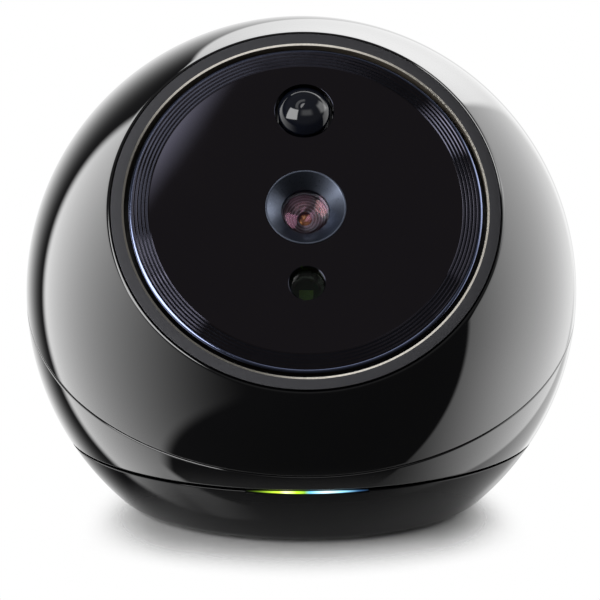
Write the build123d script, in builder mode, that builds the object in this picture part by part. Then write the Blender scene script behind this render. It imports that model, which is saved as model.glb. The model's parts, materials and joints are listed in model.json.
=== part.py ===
from build123d import *
from math import acos, cos, pi, radians, sin, sqrt, tan
import os

# Ball-shaped security camera: a base, a lower shell that pans on it, and a head that turns on a slanted cut.
# Millimetres, +Z up, the origin on the table under the ball's centre, the face looking to -Y.

# Ball and the two cuts through it
ball_radius = 56.0
shell_wall = 2.2
base_cut = 13.0  # of the ball cut away below the table
pan_gap = 0.6
turn_gap = 0.25
lean = 27.5  # of the turning axis from the vertical, and of the face from the turning axis

# Fits
slip = 0.1  # between pieces that are fixed to each other
running = 0.06  # radial play of a turning shaft
play = 0.3  # between faces that pass each other
opening_play = 0.4  # round the frame in the face's opening

# Base
foot_height = 0.5
foot_sunk = 0.8
foot_width = 3.0
foot_margin = 1.2  # from the foot to the edge of the base plate
base_edge_radius = 6.0
plate_thick = 2.0
base_deck_thick = 1.8
insert_radius = 5.0
insert_bore = 2.55
insert_length = 5.9
insert_boss_wall = 2.5
board_lift = 2.1  # from the plate to the base board
base_board_inner = 14.0
board_post_radius = 2.2
board_post_spot = (20.0, 10.0)

# Power socket
socket_width = 7.6
socket_height = 2.5
socket_length = 7.4
socket_wall = 0.35
socket_depth = 5.5
tongue_width = 4.0
tongue_thick = 0.6
socket_inset = 0.3
socket_in_deck = 0.3  # of the socket's top in the deck's underside

# Reset button
button_spot = (-6.0, 17.5)
button_radius = 1.6
button_flange = 2.6
button_flange_thick = 0.6
button_travel = 0.45
button_sunk = 0.4
switch_size = 4.0

# Status light
lamp_half_angle = 14.5
lamp_notch = 0.5
guide_thick = 2.0
lamp_board_thick = 1.0
led_size = 2.0
led_height = 1.0
led_angle = 5.0
lip_inset = 0.15

# Pan post, turning hub and their clips
post_radius = 8.0
post_bore = 5.5
hub_radius = 9.0
hub_bore = 6.5
flange_width = 5.0
flange_thick = 1.5
bush_wall = 2.4
bush_length = 5.5
clip_thick = 1.0
clip_depth = 0.8
clip_width = 2.0
clip_mouth = 60.0
stub = 1.2  # of post or hub past its clip

# Decks that the motors and the head stand on
deck_thick = 2.0
deck_gap = 3.0  # between the two decks at the slanted cut
turn_deck_margin = 9.5  # from the turn deck's rim to the shell

# Gears
gear_module = 1.0
ring_teeth = 60
pinion_teeth = 12
pressure_angle = 20.0
backlash = 0.25
ring_addendum = 0.6
pinion_addendum = 0.85
dedendum = 1.1
ring_back = 2.9
ring_gear_face = 3.0

# Motors
motor_radius = 12.0
motor_length = 10.0
motor_edge = 1.0
pan_motor_angle = 30.0  # from the camera's side to the pan motor
motor_boss_radius = 4.5
shaft_radius = 1.2
ear_spacing = 31.0
ear_radius = 3.5
ear_thick = 1.0

# Screws and the bosses that take them
screw_head_radius = 1.9
screw_head_height = 1.2
screw_radius = 0.95
screw_length = 6.0
boss_radius = 3.2
boss_length = 7.5
web_thick = 2.4
base_screw_margin = 2.5  # from the foot's inner edge to the middle of a base screw
turntable_screw_margin = 3.5  # from a deck's rim to the middle of its screws
turn_deck_screw_margin = 4.5
head_deck_screw_margin = 6.5

# Speaker
speaker_radius = 10.0
speaker_depth = 5.5
speaker_rim = 1.5
magnet_radius = 6.0
speaker_lift = 1.5  # from the turntable to the speaker's cup
speaker_room = 1.8  # from the speaker's front to the shell
speaker_lip = 1.0
speaker_cup_wall = 1.8
grille_hole = 0.75
grille_pitch = 3.4

# Face
face_cut = 14.68  # of the ball cut away at the flat face
face_depth = 3.7
face_ring_width = 2.7
ring_polish = 0.4  # bevel on the ring's inner edge
window_gap = 0.9  # from the ring to the window
window_bevel = 0.35
window_crown = 0.2
groove_count = 6
groove_band = 4.0  # from the innermost groove to the window's edge
groove_pitch = 0.69
groove_width = 0.5
groove_depth = 0.25
frame_wall = 2.2
frame_disc = 2.0
frame_length = 9.1
tab_thick = 2.0
tab_overlap = 0.9  # of the frame's bosses behind the opening's edge

# Lens
cone_radius = 7.8
cone_lip = 0.3
cone_depth = 2.3
cone_proud = 0.15
cone_seat = 1.0
lens_mouth = 4.67
barrel_radius = 7.0
barrel_head = 6.5
thread_radius = 6.0
barrel_wall = 1.4
glass_edge = 1.2
front_glass_crown = 1.4
spacer_length = 2.8
spacer_bore = 2.8
rear_glass_thick = 2.2
rear_glass_inset = 2.0
lens_stack = 16.6  # from the frame's front to the image board
holder_size = 18.0
holder_base = 3.0
holder_length = 9.0
holder_wall = 2.1
sensor_pocket = 9.2
image_sensor_width = 7.4
image_sensor_height = 6.0
image_sensor_thick = 0.9
filter_thick = 0.5

# Motion sensor and light sensor
pir_up = 20.7
pir_hole = 5.75
pir_radius = 4.9
pir_wall = 0.8
pir_sunk = 1.9
pir_flange = 0.8
pir_can_radius = 4.3
light_down = 15.9
light_hole = 3.5
light_face = 2.9
light_sunk = 1.4
light_chip = 2.6
light_chip_height = 1.2

# Boards in the head
board_thick = 1.6
front_board_gap = 2.7
front_board_width = 22.0
front_board_height = 54.0
front_board_up = 3.0
stake_radius = 1.8
stake_pin = 0.9
stake_side = 3.0  # from a stake to the front board's sides and ends
stake_end = 3.5
microphone_radius = 2.0
microphone_height = 1.5
microphone_spot = (6.5, -11.0)
image_board_width = 34.0
image_board_height = 30.0
board_inset = 3.0  # from a board's edge to the middle of its screws
pillar_radius = 2.2
standoff_length = 4.0
standoff_radius = 2.2
stud_length = 3.0
main_board_width = 56.0
main_board_height = 42.0
main_board_back = 9.0  # from the turning axis to the middle of the main board
shield_width = 24.0
shield_height = 18.0
shield_thick = 3.0
shield_wall = 0.4
shield_back = 9.0  # from the middle of the main board to the shield's


centre_height = ball_radius - base_cut


def wall_radius(radius, height):
    """Distance from the vertical axis to a ball of this radius, at this height above the table."""
    return sqrt(radius**2 - (height - centre_height) ** 2)


def polar_spots(radius, angles):
    """Points at one distance from the middle, at these angles in degrees."""
    return [(radius * cos(radians(a)), radius * sin(radians(a))) for a in angles]


# Frames: one for the base, one on the slanted cut, one on the face, each with a half section beside it
centre = (0, 0, centre_height)
turn_plane = Plane(origin=centre, x_dir=(1, 0, 0), z_dir=(0, -sin(radians(lean)), cos(radians(lean))))
face_plane = Plane(origin=centre, x_dir=(1, 0, 0), z_dir=(0, -sin(radians(2 * lean)), cos(radians(2 * lean))))
pan_section = Plane.XZ
turn_section = Plane(origin=centre, x_dir=(1, 0, 0), z_dir=-turn_plane.y_dir)
face_section = Plane(origin=centre, x_dir=(1, 0, 0), z_dir=-face_plane.y_dir)
pan_axis = Axis.Z
turn_axis = Axis(centre, turn_plane.z_dir)
face_axis = Axis(centre, face_plane.z_dir)

# Heights in the base and in the lower shell
inner_radius = ball_radius - shell_wall
base_bottom = foot_height
plate_top = base_bottom + plate_thick
base_board_height = plate_top + board_lift
socket_low = base_board_height + board_thick
base_deck_bottom = socket_low + socket_height - socket_in_deck
base_deck_top = base_deck_bottom + base_deck_thick
base_rim = base_deck_top + ring_gear_face + play
lower_rim = base_rim + pan_gap
turntable_top = lower_rim + deck_thick
bush_top = turntable_top + bush_length - deck_thick
pan_clip_low = bush_top + play
post_bottom = base_deck_bottom - flange_thick
post_top = pan_clip_low + clip_thick + stub

# Distances along the turning axis, from the ball's centre
turn_deck_top = -deck_gap / 2
turn_deck_bottom = turn_deck_top - deck_thick
head_deck_bottom = deck_gap / 2
head_deck_top = head_deck_bottom + deck_thick
turn_bush_bottom = turn_deck_bottom - bush_length + deck_thick
turn_clip_top = turn_bush_bottom - play
hub_bottom = turn_clip_top - clip_thick - stub

# Distances along the face's axis, from the ball's centre
face_distance = ball_radius - face_cut
face_opening = sqrt(ball_radius**2 - face_distance**2)
window_radius = face_opening - face_ring_width - window_gap
groove_inner = window_radius - groove_band
frame_front = face_distance - face_depth
frame_back = frame_front - frame_disc
frame_rear = frame_front - frame_length
tab_front = frame_rear + tab_thick
frame_radius = face_opening - opening_play
barrel_front = frame_front + cone_seat
image_board_front = frame_front - lens_stack
image_board_back = image_board_front - board_thick
front_board_front = frame_back - front_board_gap
front_board_back = front_board_front - board_thick
crown_radius = (window_radius**2 + window_crown**2) / (2 * window_crown)

# Gears and motors
ring_pitch = gear_module * ring_teeth / 2
pinion_pitch = gear_module * pinion_teeth / 2
gear_distance = ring_pitch - pinion_pitch
ring_tip = ring_pitch - ring_addendum * gear_module
ring_root = ring_pitch + dedendum * gear_module
ring_outer = ring_root + ring_back
pinion_tip = pinion_pitch + pinion_addendum * gear_module
pinion_root = pinion_pitch - dedendum * gear_module
half_pitch = pi * gear_module / 2
half_tooth_turn = 180 / ring_teeth

# Where the screws go
pilot_radius = screw_radius + running
seat_radius = screw_head_radius + 2 * slip
plate_radius = wall_radius(inner_radius, base_bottom) - slip
foot_outer = plate_radius - foot_margin
base_spots = polar_spots(foot_outer - foot_width - base_screw_margin, (45, 135, 225, 315))
turntable_radius = wall_radius(inner_radius, lower_rim) - play
turntable_spots = polar_spots(turntable_radius - turntable_screw_margin, (15, 50, 130, 165))
turn_deck_radius = sqrt(inner_radius**2 - turn_deck_bottom**2) - turn_deck_margin
deck_spots = polar_spots(turn_deck_radius - turn_deck_screw_margin, (-15, 45, 135, 195))
head_deck_radius = sqrt(inner_radius**2 - head_deck_top**2) - play
head_spots = polar_spots(head_deck_radius - head_deck_screw_margin, (-40, 30, 150, 220))
frame_spots = polar_spots(face_opening + boss_radius - tab_overlap, (45, 135, 225, 315))
pillar_x = image_board_width / 2 - board_inset
pillar_y = image_board_height / 2 - board_inset
pillar_spots = [(x, y) for x in (-pillar_x, pillar_x) for y in (-pillar_y, pillar_y)]
standoff_x = main_board_width / 2 - board_inset
standoff_y = main_board_height / 2 - board_inset
standoff_rows = (main_board_back - standoff_y, main_board_back + standoff_y)
standoff_spots = [(x, y) for x in (-standoff_x, standoff_x) for y in standoff_rows]
stake_x = front_board_width / 2 - stake_side
stake_y = front_board_height / 2 - stake_end
stake_rows = (front_board_up - stake_y, front_board_up + stake_y)
stake_spots = [(x, y) for x in (-stake_x, stake_x) for y in stake_rows]
board_post_spots = [(-board_post_spot[0], board_post_spot[1]), board_post_spot]
ear_spots = [(-ear_spacing / 2, 0), (ear_spacing / 2, 0)]


def window_surface(radius):
    """Distance of the window's crowned front from the ball's centre, at this distance from the face's axis."""
    return face_distance + window_crown - crown_radius + sqrt(crown_radius**2 - radius**2)


def ring(plane, outer, inner=0, spots=((0, 0),)):
    """Sketch of a ring, or of a disc where inner is 0, at each of these spots on the plane."""
    with BuildSketch(plane) as sketch:
        with Locations(*spots):
            Circle(outer)
            if inner:
                Circle(inner, mode=Mode.SUBTRACT)
    return sketch.sketch


def block(plane, width, height, spots=((0, 0),)):
    """Sketch of a rectangle at each of these spots on the plane."""
    with BuildSketch(plane) as sketch:
        with Locations(*spots):
            Rectangle(width, height)
    return sketch.sketch


def outline(plane, points):
    """Sketch of the straight-sided shape with these corners."""
    with BuildSketch(plane) as sketch:
        with BuildLine():
            Polyline(*points, close=True)
        make_face()
    return sketch.sketch


def ball_zone(section, outer, inner, low, high, middle=0.0):
    """Half section of a ball, or of a shell where inner is set, between two heights on the section."""
    with BuildSketch(section) as sketch:
        with Locations((0, middle)):
            Circle(outer)
            if inner:
                Circle(inner, mode=Mode.SUBTRACT)
        with Locations((0, low)):
            Rectangle(outer, high - low, align=(Align.MIN, Align.MIN), mode=Mode.INTERSECT)
    return sketch.sketch


def wall_bosses(plane, spots, reach):
    """Sketch of round bosses, each with a web that runs outwards to the wall."""
    with BuildSketch(plane) as sketch:
        with Locations(*spots):
            Circle(boss_radius)
        for x, y in spots:
            far = reach / sqrt(x**2 + y**2)
            with BuildLine() as spine:
                Line((x, y), (x * far, y * far))
            trace(spine.line, web_thick)
    return sketch.sketch


def involute_teeth(plane, teeth, low, high, width, turn):
    """Sketch of a circle of involute teeth between two radii, with the first tooth at the angle turn.

    A flank's half angle at radius r is the half angle at the pitch circle plus inv(pressure angle) less
    inv(acos(base / r)), where inv(a) is tan(a) - a. Below the base circle the flank is radial.
    """
    pitch = gear_module * teeth / 2
    base = pitch * cos(radians(pressure_angle))

    def flank(radius):
        at_pitch = radians(pressure_angle)
        at_radius = acos(min(1.0, base / radius))
        half = width / (2 * pitch) + (tan(at_pitch) - at_pitch) - (tan(at_radius) - at_radius)
        return (radius * cos(half), radius * sin(half))

    start = max(low, base)
    root = (low * flank(start)[0] / start, low * flank(start)[1] / start)
    upper = [root, flank(start), flank((start + high) / 2), flank(high)]
    lower = [(x, -y) for x, y in reversed(upper)]
    corners = list(dict.fromkeys(upper + lower))
    with BuildSketch() as tooth:
        with BuildLine():
            Polyline(*corners, close=True)
        make_face()
    with BuildSketch(plane) as sketch:
        with PolarLocations(0, teeth, turn):
            add(tooth.sketch)
    return sketch.sketch


def involute_ring(low_plane, face, first):
    """Ring gear with inner teeth, standing on the plane, with a tooth space at the angle first."""
    with BuildPart() as gear:
        extrude(ring(low_plane, ring_outer, ring_tip), amount=face)
        gaps = involute_teeth(low_plane, ring_teeth, ring_tip, ring_root, half_pitch + backlash / 2, first)
        extrude(gaps, amount=face, mode=Mode.SUBTRACT)
    return gear


def involute_pinion(low_plane, face, first):
    """Pinion on the motor's shaft, standing on the plane, with a tooth at the angle first."""
    with BuildPart() as gear:
        extrude(ring(low_plane, pinion_root), amount=face)
        teeth = involute_teeth(low_plane, pinion_teeth, pinion_root, pinion_tip, half_pitch - backlash / 2, first)
        extrude(teeth, amount=face)
        extrude(ring(low_plane, shaft_radius + running), amount=face, mode=Mode.SUBTRACT)
    return gear


def gear_motor(seat):
    """Round motor with two ears on its seat plane and a boss that goes through the deck behind the plane."""
    with BuildPart() as motor:
        extrude(ring(seat, motor_radius), amount=motor_length)
        far_end = motor.edges().filter_by(GeomType.CIRCLE).group_by(Axis(seat.origin, seat.z_dir))[-1]
        fillet(far_end, motor_edge)
        extrude(ring(seat, motor_boss_radius), amount=-deck_thick)
        extrude(ring(seat, ear_radius, spots=ear_spots), amount=ear_thick)
        extrude(block(seat, ear_spacing, 2 * ear_radius), amount=ear_thick)
        extrude(ring(seat, screw_radius + slip, spots=ear_spots), amount=ear_thick, mode=Mode.SUBTRACT)
        bore = ring(seat.offset(-deck_thick), shaft_radius + running)
        extrude(bore, amount=deck_thick + motor_length / 2, mode=Mode.SUBTRACT)
    return motor


def screw_group(seat, spots, way, length=screw_length):
    """Screws with their heads on the seat plane, whose shanks run along the plane's normal, or against it."""
    with BuildPart() as group:
        extrude(ring(seat, screw_head_radius, spots=spots), amount=-way * screw_head_height)
        extrude(ring(seat, screw_radius, spots=spots), amount=way * length)
    return group


def open_clip(low_plane, shaft):
    """Spring clip, open at the back, in the groove of a shaft of this radius."""
    inner = shaft - clip_depth + running
    with BuildPart() as clip:
        extrude(ring(low_plane, shaft + clip_width, inner), amount=clip_thick)
        mouth = [(0, 0), *polar_spots(4 * shaft, (90 - clip_mouth / 2, 90 + clip_mouth / 2))]
        extrude(outline(low_plane, mouth), amount=clip_thick, mode=Mode.SUBTRACT)
    return clip


def save(piece, name):
    """Label a finished piece and write it."""
    piece.part.label = name
    export_step(piece.part, f"parts/{name}.step")


os.makedirs("parts", exist_ok=True)

# Base shell: the ball's lowest slice, with a deck across it, open below for the plate
base_board_radius = wall_radius(inner_radius, base_board_height) - play
socket_mouth = wall_radius(ball_radius, socket_low) - socket_inset
socket_middle = (0, socket_low + socket_height / 2)
lip_low = base_rim - lamp_notch
lip_high = lower_rim - play
with BuildPart() as base_shell:
    with BuildSketch(pan_section) as slice_profile:
        with Locations((0, centre_height)):
            Circle(ball_radius)
        with Locations((0, base_bottom)):
            Rectangle(ball_radius, base_rim - base_bottom, align=(Align.MIN, Align.MIN), mode=Mode.INTERSECT)
        bottom_corner = slice_profile.vertices().group_by(Axis.Y)[0].sort_by(Axis.X)[-1]
        fillet(bottom_corner, base_edge_radius)
    revolve(axis=pan_axis)
    upper_well = ball_zone(pan_section, inner_radius, 0, base_deck_top, base_rim, centre_height)
    revolve(upper_well, axis=pan_axis, mode=Mode.SUBTRACT)
    lower_well = ball_zone(pan_section, inner_radius, 0, plate_top, base_deck_bottom, centre_height)
    revolve(lower_well, axis=pan_axis, mode=Mode.SUBTRACT)
    extrude(ring(Plane.XY.offset(base_bottom), plate_radius + slip), amount=plate_thick, mode=Mode.SUBTRACT)
    boss_foot = Plane.XY.offset(plate_top)
    extrude(ring(boss_foot, boss_radius, spots=base_spots), amount=base_deck_bottom - plate_top)
    pilots = ring(boss_foot, pilot_radius, spots=base_spots)
    extrude(pilots, amount=base_deck_bottom - plate_top, mode=Mode.SUBTRACT)
    extrude(ring(Plane.XY, post_radius + running), amount=base_deck_top, mode=Mode.SUBTRACT)
    socket_hole = block(Plane.XZ, socket_width + 2 * play, socket_height + 2 * play, [socket_middle])
    extrude(socket_hole, amount=-ball_radius, mode=Mode.SUBTRACT)
    with BuildSketch(Plane.XY.offset(lip_low)) as notch:
        Circle(ball_radius)
        Circle(base_board_radius, mode=Mode.SUBTRACT)
        sides = polar_spots(2 * ball_radius, (270 - lamp_half_angle - slip, 270 + lamp_half_angle + slip))
        with BuildLine():
            Polyline((0, 0), *sides, close=True)
        make_face(mode=Mode.INTERSECT)
    extrude(amount=lamp_notch, mode=Mode.SUBTRACT)
save(base_shell, "base_shell")

# Base plate: closes the base, with a boss for the tripod insert and two posts for the board
insert_top = base_bottom + insert_length
with BuildPart() as base_plate:
    extrude(ring(Plane.XY.offset(base_bottom), plate_radius), amount=plate_thick)
    extrude(ring(Plane.XY.offset(base_bottom), insert_radius + insert_boss_wall), amount=insert_length)
    posts = ring(Plane.XY.offset(plate_top), board_post_radius, spots=board_post_spots)
    extrude(posts, amount=base_board_height - plate_top)
    extrude(ring(Plane.XY, insert_radius + slip / 2), amount=insert_top, mode=Mode.SUBTRACT)
    foot_groove = ring(Plane.XY, foot_outer + slip, foot_outer - foot_width - slip)
    extrude(foot_groove, amount=base_bottom + foot_sunk, mode=Mode.SUBTRACT)
    extrude(ring(Plane.XY, screw_radius + slip, spots=base_spots), amount=plate_top, mode=Mode.SUBTRACT)
    head_seats = ring(Plane.XY, seat_radius, spots=base_spots)
    extrude(head_seats, amount=base_bottom + screw_head_height, mode=Mode.SUBTRACT)
    extrude(ring(Plane.XY, button_radius + 2 * slip, spots=[button_spot]), amount=plate_top, mode=Mode.SUBTRACT)
save(base_plate, "base_plate")

# Rubber foot ring, which the camera stands on
with BuildPart() as rubber_foot:
    extrude(ring(Plane.XY, foot_outer, foot_outer - foot_width), amount=foot_height + foot_sunk)
    fillet(rubber_foot.edges().group_by(Axis.Z)[0], foot_height / 2)
save(rubber_foot, "rubber_foot")

# Brass tripod insert in the middle of the plate
with BuildPart() as tripod_insert:
    extrude(ring(Plane.XY.offset(base_bottom), insert_radius, insert_bore), amount=insert_length)
save(tripod_insert, "tripod_insert")

save(screw_group(Plane.XY.offset(base_bottom + screw_head_height), base_spots, 1), "base_screws")

# Base board: the rear half of a ring, with room for the two screw bosses that pass through it
with BuildPart() as base_board:
    with BuildSketch(Plane.XY.offset(base_board_height)):
        Circle(base_board_radius)
        Circle(base_board_inner, mode=Mode.SUBTRACT)
        Rectangle(2 * ball_radius, ball_radius, align=(Align.CENTER, Align.MIN), mode=Mode.INTERSECT)
        with Locations(*base_spots[:2]):
            Circle(boss_radius + play, mode=Mode.SUBTRACT)
    extrude(amount=board_thick)
save(base_board, "base_board")

# Power socket at the back of the base, with a tongue inside its mouth
with BuildPart() as power_socket:
    socket_front = Plane(origin=(0, socket_mouth, 0), x_dir=(1, 0, 0), z_dir=(0, -1, 0))
    extrude(block(socket_front, socket_width, socket_height, [socket_middle]), amount=socket_length)
    fillet(power_socket.edges().filter_by(Axis.Y), socket_wall)
    mouth_width = socket_width - 2 * socket_wall
    mouth_height = socket_height - 2 * socket_wall
    mouth = block(socket_front, mouth_width, mouth_height, [socket_middle])
    extrude(mouth, amount=socket_depth, mode=Mode.SUBTRACT)
    tongue = block(socket_front.offset(2 * slip), tongue_width, tongue_thick, [socket_middle])
    extrude(tongue, amount=socket_depth)
save(power_socket, "power_socket")

# Reset switch under the board, and the button that presses it through the plate
button_low = base_bottom + button_sunk
flange_low = plate_top + slip
flange_high = flange_low + button_flange_thick
with BuildPart() as reset_button:
    extrude(ring(Plane.XY.offset(button_low), button_radius, spots=[button_spot]), amount=flange_high - button_low)
    extrude(ring(Plane.XY.offset(flange_low), button_flange, spots=[button_spot]), amount=button_flange_thick)
save(reset_button, "reset_button")

switch_low = flange_high + button_travel + slip
with BuildPart() as reset_switch:
    switch_face = block(Plane.XY.offset(switch_low), switch_size, switch_size, [button_spot])
    extrude(switch_face, amount=base_board_height - switch_low)
save(reset_switch, "reset_switch")

# Pan post: a hollow spindle up through the base deck, with a groove for its clip
with BuildPart() as pan_post:
    extrude(ring(Plane.XY.offset(post_bottom), post_radius, post_bore), amount=post_top - post_bottom)
    extrude(ring(Plane.XY.offset(post_bottom), post_radius + flange_width, post_bore), amount=flange_thick)
    groove = ring(Plane.XY.offset(pan_clip_low - slip), post_radius + slip, post_radius - clip_depth)
    extrude(groove, amount=clip_thick + 2 * slip, mode=Mode.SUBTRACT)
save(pan_post, "pan_post")
save(open_clip(Plane.XY.offset(pan_clip_low), post_radius), "pan_clip")

# Pan ring gear, fixed on the base deck, with a tooth space at the motor
save(involute_ring(Plane.XY.offset(base_deck_top), ring_gear_face, pan_motor_angle), "pan_ring_gear")

# Status light: a board with two lamps behind a clear guide, whose lip shows in the groove at the front
guide_outer = wall_radius(inner_radius, base_deck_top) - 2 * play
guide_inner = guide_outer - guide_thick
lip_outer = wall_radius(ball_radius, lip_low) - lip_inset
guide_turn = radians(270 - lamp_half_angle)
guide_section = Plane(
    origin=(0, 0, 0),
    x_dir=(cos(guide_turn), sin(guide_turn), 0),
    z_dir=(sin(guide_turn), -cos(guide_turn), 0),
)
with BuildPart() as light_guide:
    corners = [
        (guide_inner, base_deck_top),
        (guide_outer, base_deck_top),
        (guide_outer, lip_low),
        (lip_outer, lip_low),
        (lip_outer, lip_high),
        (guide_inner, lip_high),
    ]
    revolve(outline(guide_section, corners), axis=pan_axis, revolution_arc=2 * lamp_half_angle)
save(light_guide, "light_guide")

lamp_board_outer = guide_inner - slip
lamp_board_inner = ring_outer + play
with BuildPart() as light_board:
    with BuildSketch(Plane.XY.offset(base_deck_top)):
        Circle(lamp_board_outer)
        Circle(lamp_board_inner, mode=Mode.SUBTRACT)
        sides = polar_spots(2 * ball_radius, (270 - lamp_half_angle, 270 + lamp_half_angle))
        with BuildLine():
            Polyline((0, 0), *sides, close=True)
        make_face(mode=Mode.INTERSECT)
    extrude(amount=lamp_board_thick)
save(light_board, "light_board")

with BuildPart() as status_leds:
    with BuildSketch(Plane.XY.offset(base_deck_top + lamp_board_thick)):
        led_radius = (lamp_board_inner + lamp_board_outer) / 2
        with PolarLocations(led_radius, 2, 270 - led_angle, 2 * led_angle, endpoint=True):
            Rectangle(led_size, led_size)
    extrude(amount=led_height)
save(status_leds, "status_leds")

# Lower shell: the ball between the pan groove and the slanted cut, with bosses for both decks and the speaker cup
turntable_face = Plane.XY.offset(turntable_top)
deck_face = turn_plane.offset(turn_deck_bottom)
cup_radius = speaker_radius + slip + speaker_cup_wall
speaker_front = inner_radius - speaker_room
speaker_back = speaker_front - speaker_depth
speaker_drop = centre_height - turntable_top - speaker_lift - cup_radius
speaker_way = (0, sqrt(speaker_front**2 - speaker_drop**2), -speaker_drop)
speaker_plane = Plane(origin=centre, x_dir=(1, 0, 0), z_dir=speaker_way)
with BuildPart() as lower_shell:
    extrude(wall_bosses(turntable_face, turntable_spots, ball_radius), amount=boss_length)
    extrude(wall_bosses(deck_face, deck_spots, ball_radius), amount=-boss_length)
    extrude(ring(speaker_plane.offset(speaker_back), cup_radius, speaker_radius + slip), amount=speaker_depth)
    cup_lip = ring(speaker_plane.offset(speaker_front), cup_radius, speaker_radius - speaker_lip)
    extrude(cup_lip, amount=shell_wall + speaker_room)
    with Locations(centre):
        Sphere(ball_radius - shell_wall / 2, mode=Mode.INTERSECT)
    crown = centre_height + ball_radius
    revolve(ball_zone(pan_section, ball_radius, inner_radius, lower_rim, crown, centre_height), axis=pan_axis)
    split(bisect_by=turn_plane.offset(-turn_gap / 2), keep=Keep.BOTTOM)
    pilots = ring(turntable_face, pilot_radius, spots=turntable_spots)
    extrude(pilots, amount=screw_length, mode=Mode.SUBTRACT)
    pilots = ring(deck_face, pilot_radius, spots=deck_spots)
    extrude(pilots, amount=-screw_length, mode=Mode.SUBTRACT)
    with BuildSketch(speaker_plane.offset(speaker_front)):
        Circle(grille_hole)
        with PolarLocations(grille_pitch, 6):
            Circle(grille_hole)
        with PolarLocations(2 * grille_pitch, 12):
            Circle(grille_hole)
    extrude(amount=ball_radius, mode=Mode.SUBTRACT)
save(lower_shell, "lower_shell")

# Speaker in its cup at the back of the lower shell
with BuildPart() as speaker:
    extrude(ring(speaker_plane.offset(speaker_front), speaker_radius), amount=-speaker_rim)
    extrude(ring(speaker_plane.offset(speaker_front), magnet_radius), amount=-speaker_depth)
    cone_hollow = ring(speaker_plane.offset(speaker_front), speaker_radius - speaker_lip)
    extrude(cone_hollow, amount=-speaker_rim / 2, taper=45, mode=Mode.SUBTRACT)
save(speaker, "speaker")

# Turntable: closes the lower shell's underside and carries the pan motor
pan_way = radians(pan_motor_angle)
pan_middle = (gear_distance * cos(pan_way), gear_distance * sin(pan_way))
pan_seat = Plane(origin=(*pan_middle, turntable_top), x_dir=(-sin(pan_way), cos(pan_way), 0), z_dir=(0, 0, 1))
turntable_base = Plane.XY.offset(lower_rim)
with BuildPart() as turntable:
    extrude(ring(turntable_base, turntable_radius), amount=deck_thick)
    bush_hole = ring(turntable_base, post_radius + running + bush_wall + slip / 2)
    extrude(bush_hole, amount=deck_thick, mode=Mode.SUBTRACT)
    boss_hole = ring(pan_seat, motor_boss_radius + slip)
    extrude(boss_hole, amount=-deck_thick, mode=Mode.SUBTRACT)
    extrude(ring(pan_seat, pilot_radius, spots=ear_spots), amount=-deck_thick, mode=Mode.SUBTRACT)
    shanks = ring(turntable_base, screw_radius + slip, spots=turntable_spots)
    extrude(shanks, amount=deck_thick, mode=Mode.SUBTRACT)
    head_seats = ring(turntable_base, seat_radius, spots=turntable_spots)
    extrude(head_seats, amount=screw_head_height, mode=Mode.SUBTRACT)
save(turntable, "turntable")
save(screw_group(turntable_base.offset(screw_head_height), turntable_spots, 1), "turntable_screws")

# Pan bush: runs on the post, with a flange that stands on the base deck
with BuildPart() as pan_bush:
    bush_bore = post_radius + running
    flange_foot = base_deck_top + slip
    flange = ring(Plane.XY.offset(flange_foot), bush_bore + flange_width, bush_bore)
    extrude(flange, amount=lower_rim - flange_foot)
    extrude(ring(turntable_base, bush_bore + bush_wall, bush_bore), amount=bush_top - lower_rim)
save(pan_bush, "pan_bush")

save(gear_motor(pan_seat), "pan_motor")
pinion_low = base_deck_top + play
pinion_top = base_deck_top + ring_gear_face
pan_pinion_plane = Plane(origin=(*pan_middle, pinion_low), x_dir=(1, 0, 0), z_dir=(0, 0, 1))
save(involute_pinion(pan_pinion_plane, pinion_top - pinion_low, pan_motor_angle), "pan_pinion")
with BuildPart() as pan_shaft:
    extrude(ring(pan_pinion_plane, shaft_radius), amount=turntable_top + motor_length / 2 - slip - pinion_low)
save(pan_shaft, "pan_shaft")

# Turn deck: just under the slanted cut, it carries the turning motor and the bush
turn_seat_middle = turn_plane.offset(turn_deck_bottom).from_local_coords((0, gear_distance, 0))
turn_seat = Plane(origin=turn_seat_middle, x_dir=(1, 0, 0), z_dir=-turn_plane.z_dir)
turn_bush_bore = hub_radius + running
with BuildPart() as turn_deck:
    extrude(ring(deck_face, turn_deck_radius), amount=deck_thick)
    bush_hole = ring(deck_face, turn_bush_bore + bush_wall + slip / 2)
    extrude(bush_hole, amount=deck_thick, mode=Mode.SUBTRACT)
    boss_hole = ring(turn_seat, motor_boss_radius + slip)
    extrude(boss_hole, amount=-deck_thick, mode=Mode.SUBTRACT)
    extrude(ring(turn_seat, pilot_radius, spots=ear_spots), amount=-deck_thick, mode=Mode.SUBTRACT)
    extrude(ring(deck_face, screw_radius + slip, spots=deck_spots), amount=deck_thick, mode=Mode.SUBTRACT)
    head_seats = ring(turn_plane.offset(turn_deck_top), seat_radius, spots=deck_spots)
    extrude(head_seats, amount=-screw_head_height, mode=Mode.SUBTRACT)
save(turn_deck, "turn_deck")
save(screw_group(turn_plane.offset(turn_deck_top - screw_head_height), deck_spots, -1), "deck_screws")

# Turn bush: runs on the head's hub, with a flange that the head's deck stands on
with BuildPart() as turn_bush:
    flange_top = head_deck_bottom - slip
    flange = ring(turn_plane.offset(turn_deck_top), turn_bush_bore + flange_width, turn_bush_bore)
    extrude(flange, amount=flange_top - turn_deck_top)
    sleeve = ring(turn_plane.offset(turn_bush_bottom), turn_bush_bore + bush_wall, turn_bush_bore)
    extrude(sleeve, amount=turn_deck_top - turn_bush_bottom)
save(turn_bush, "turn_bush")

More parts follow.
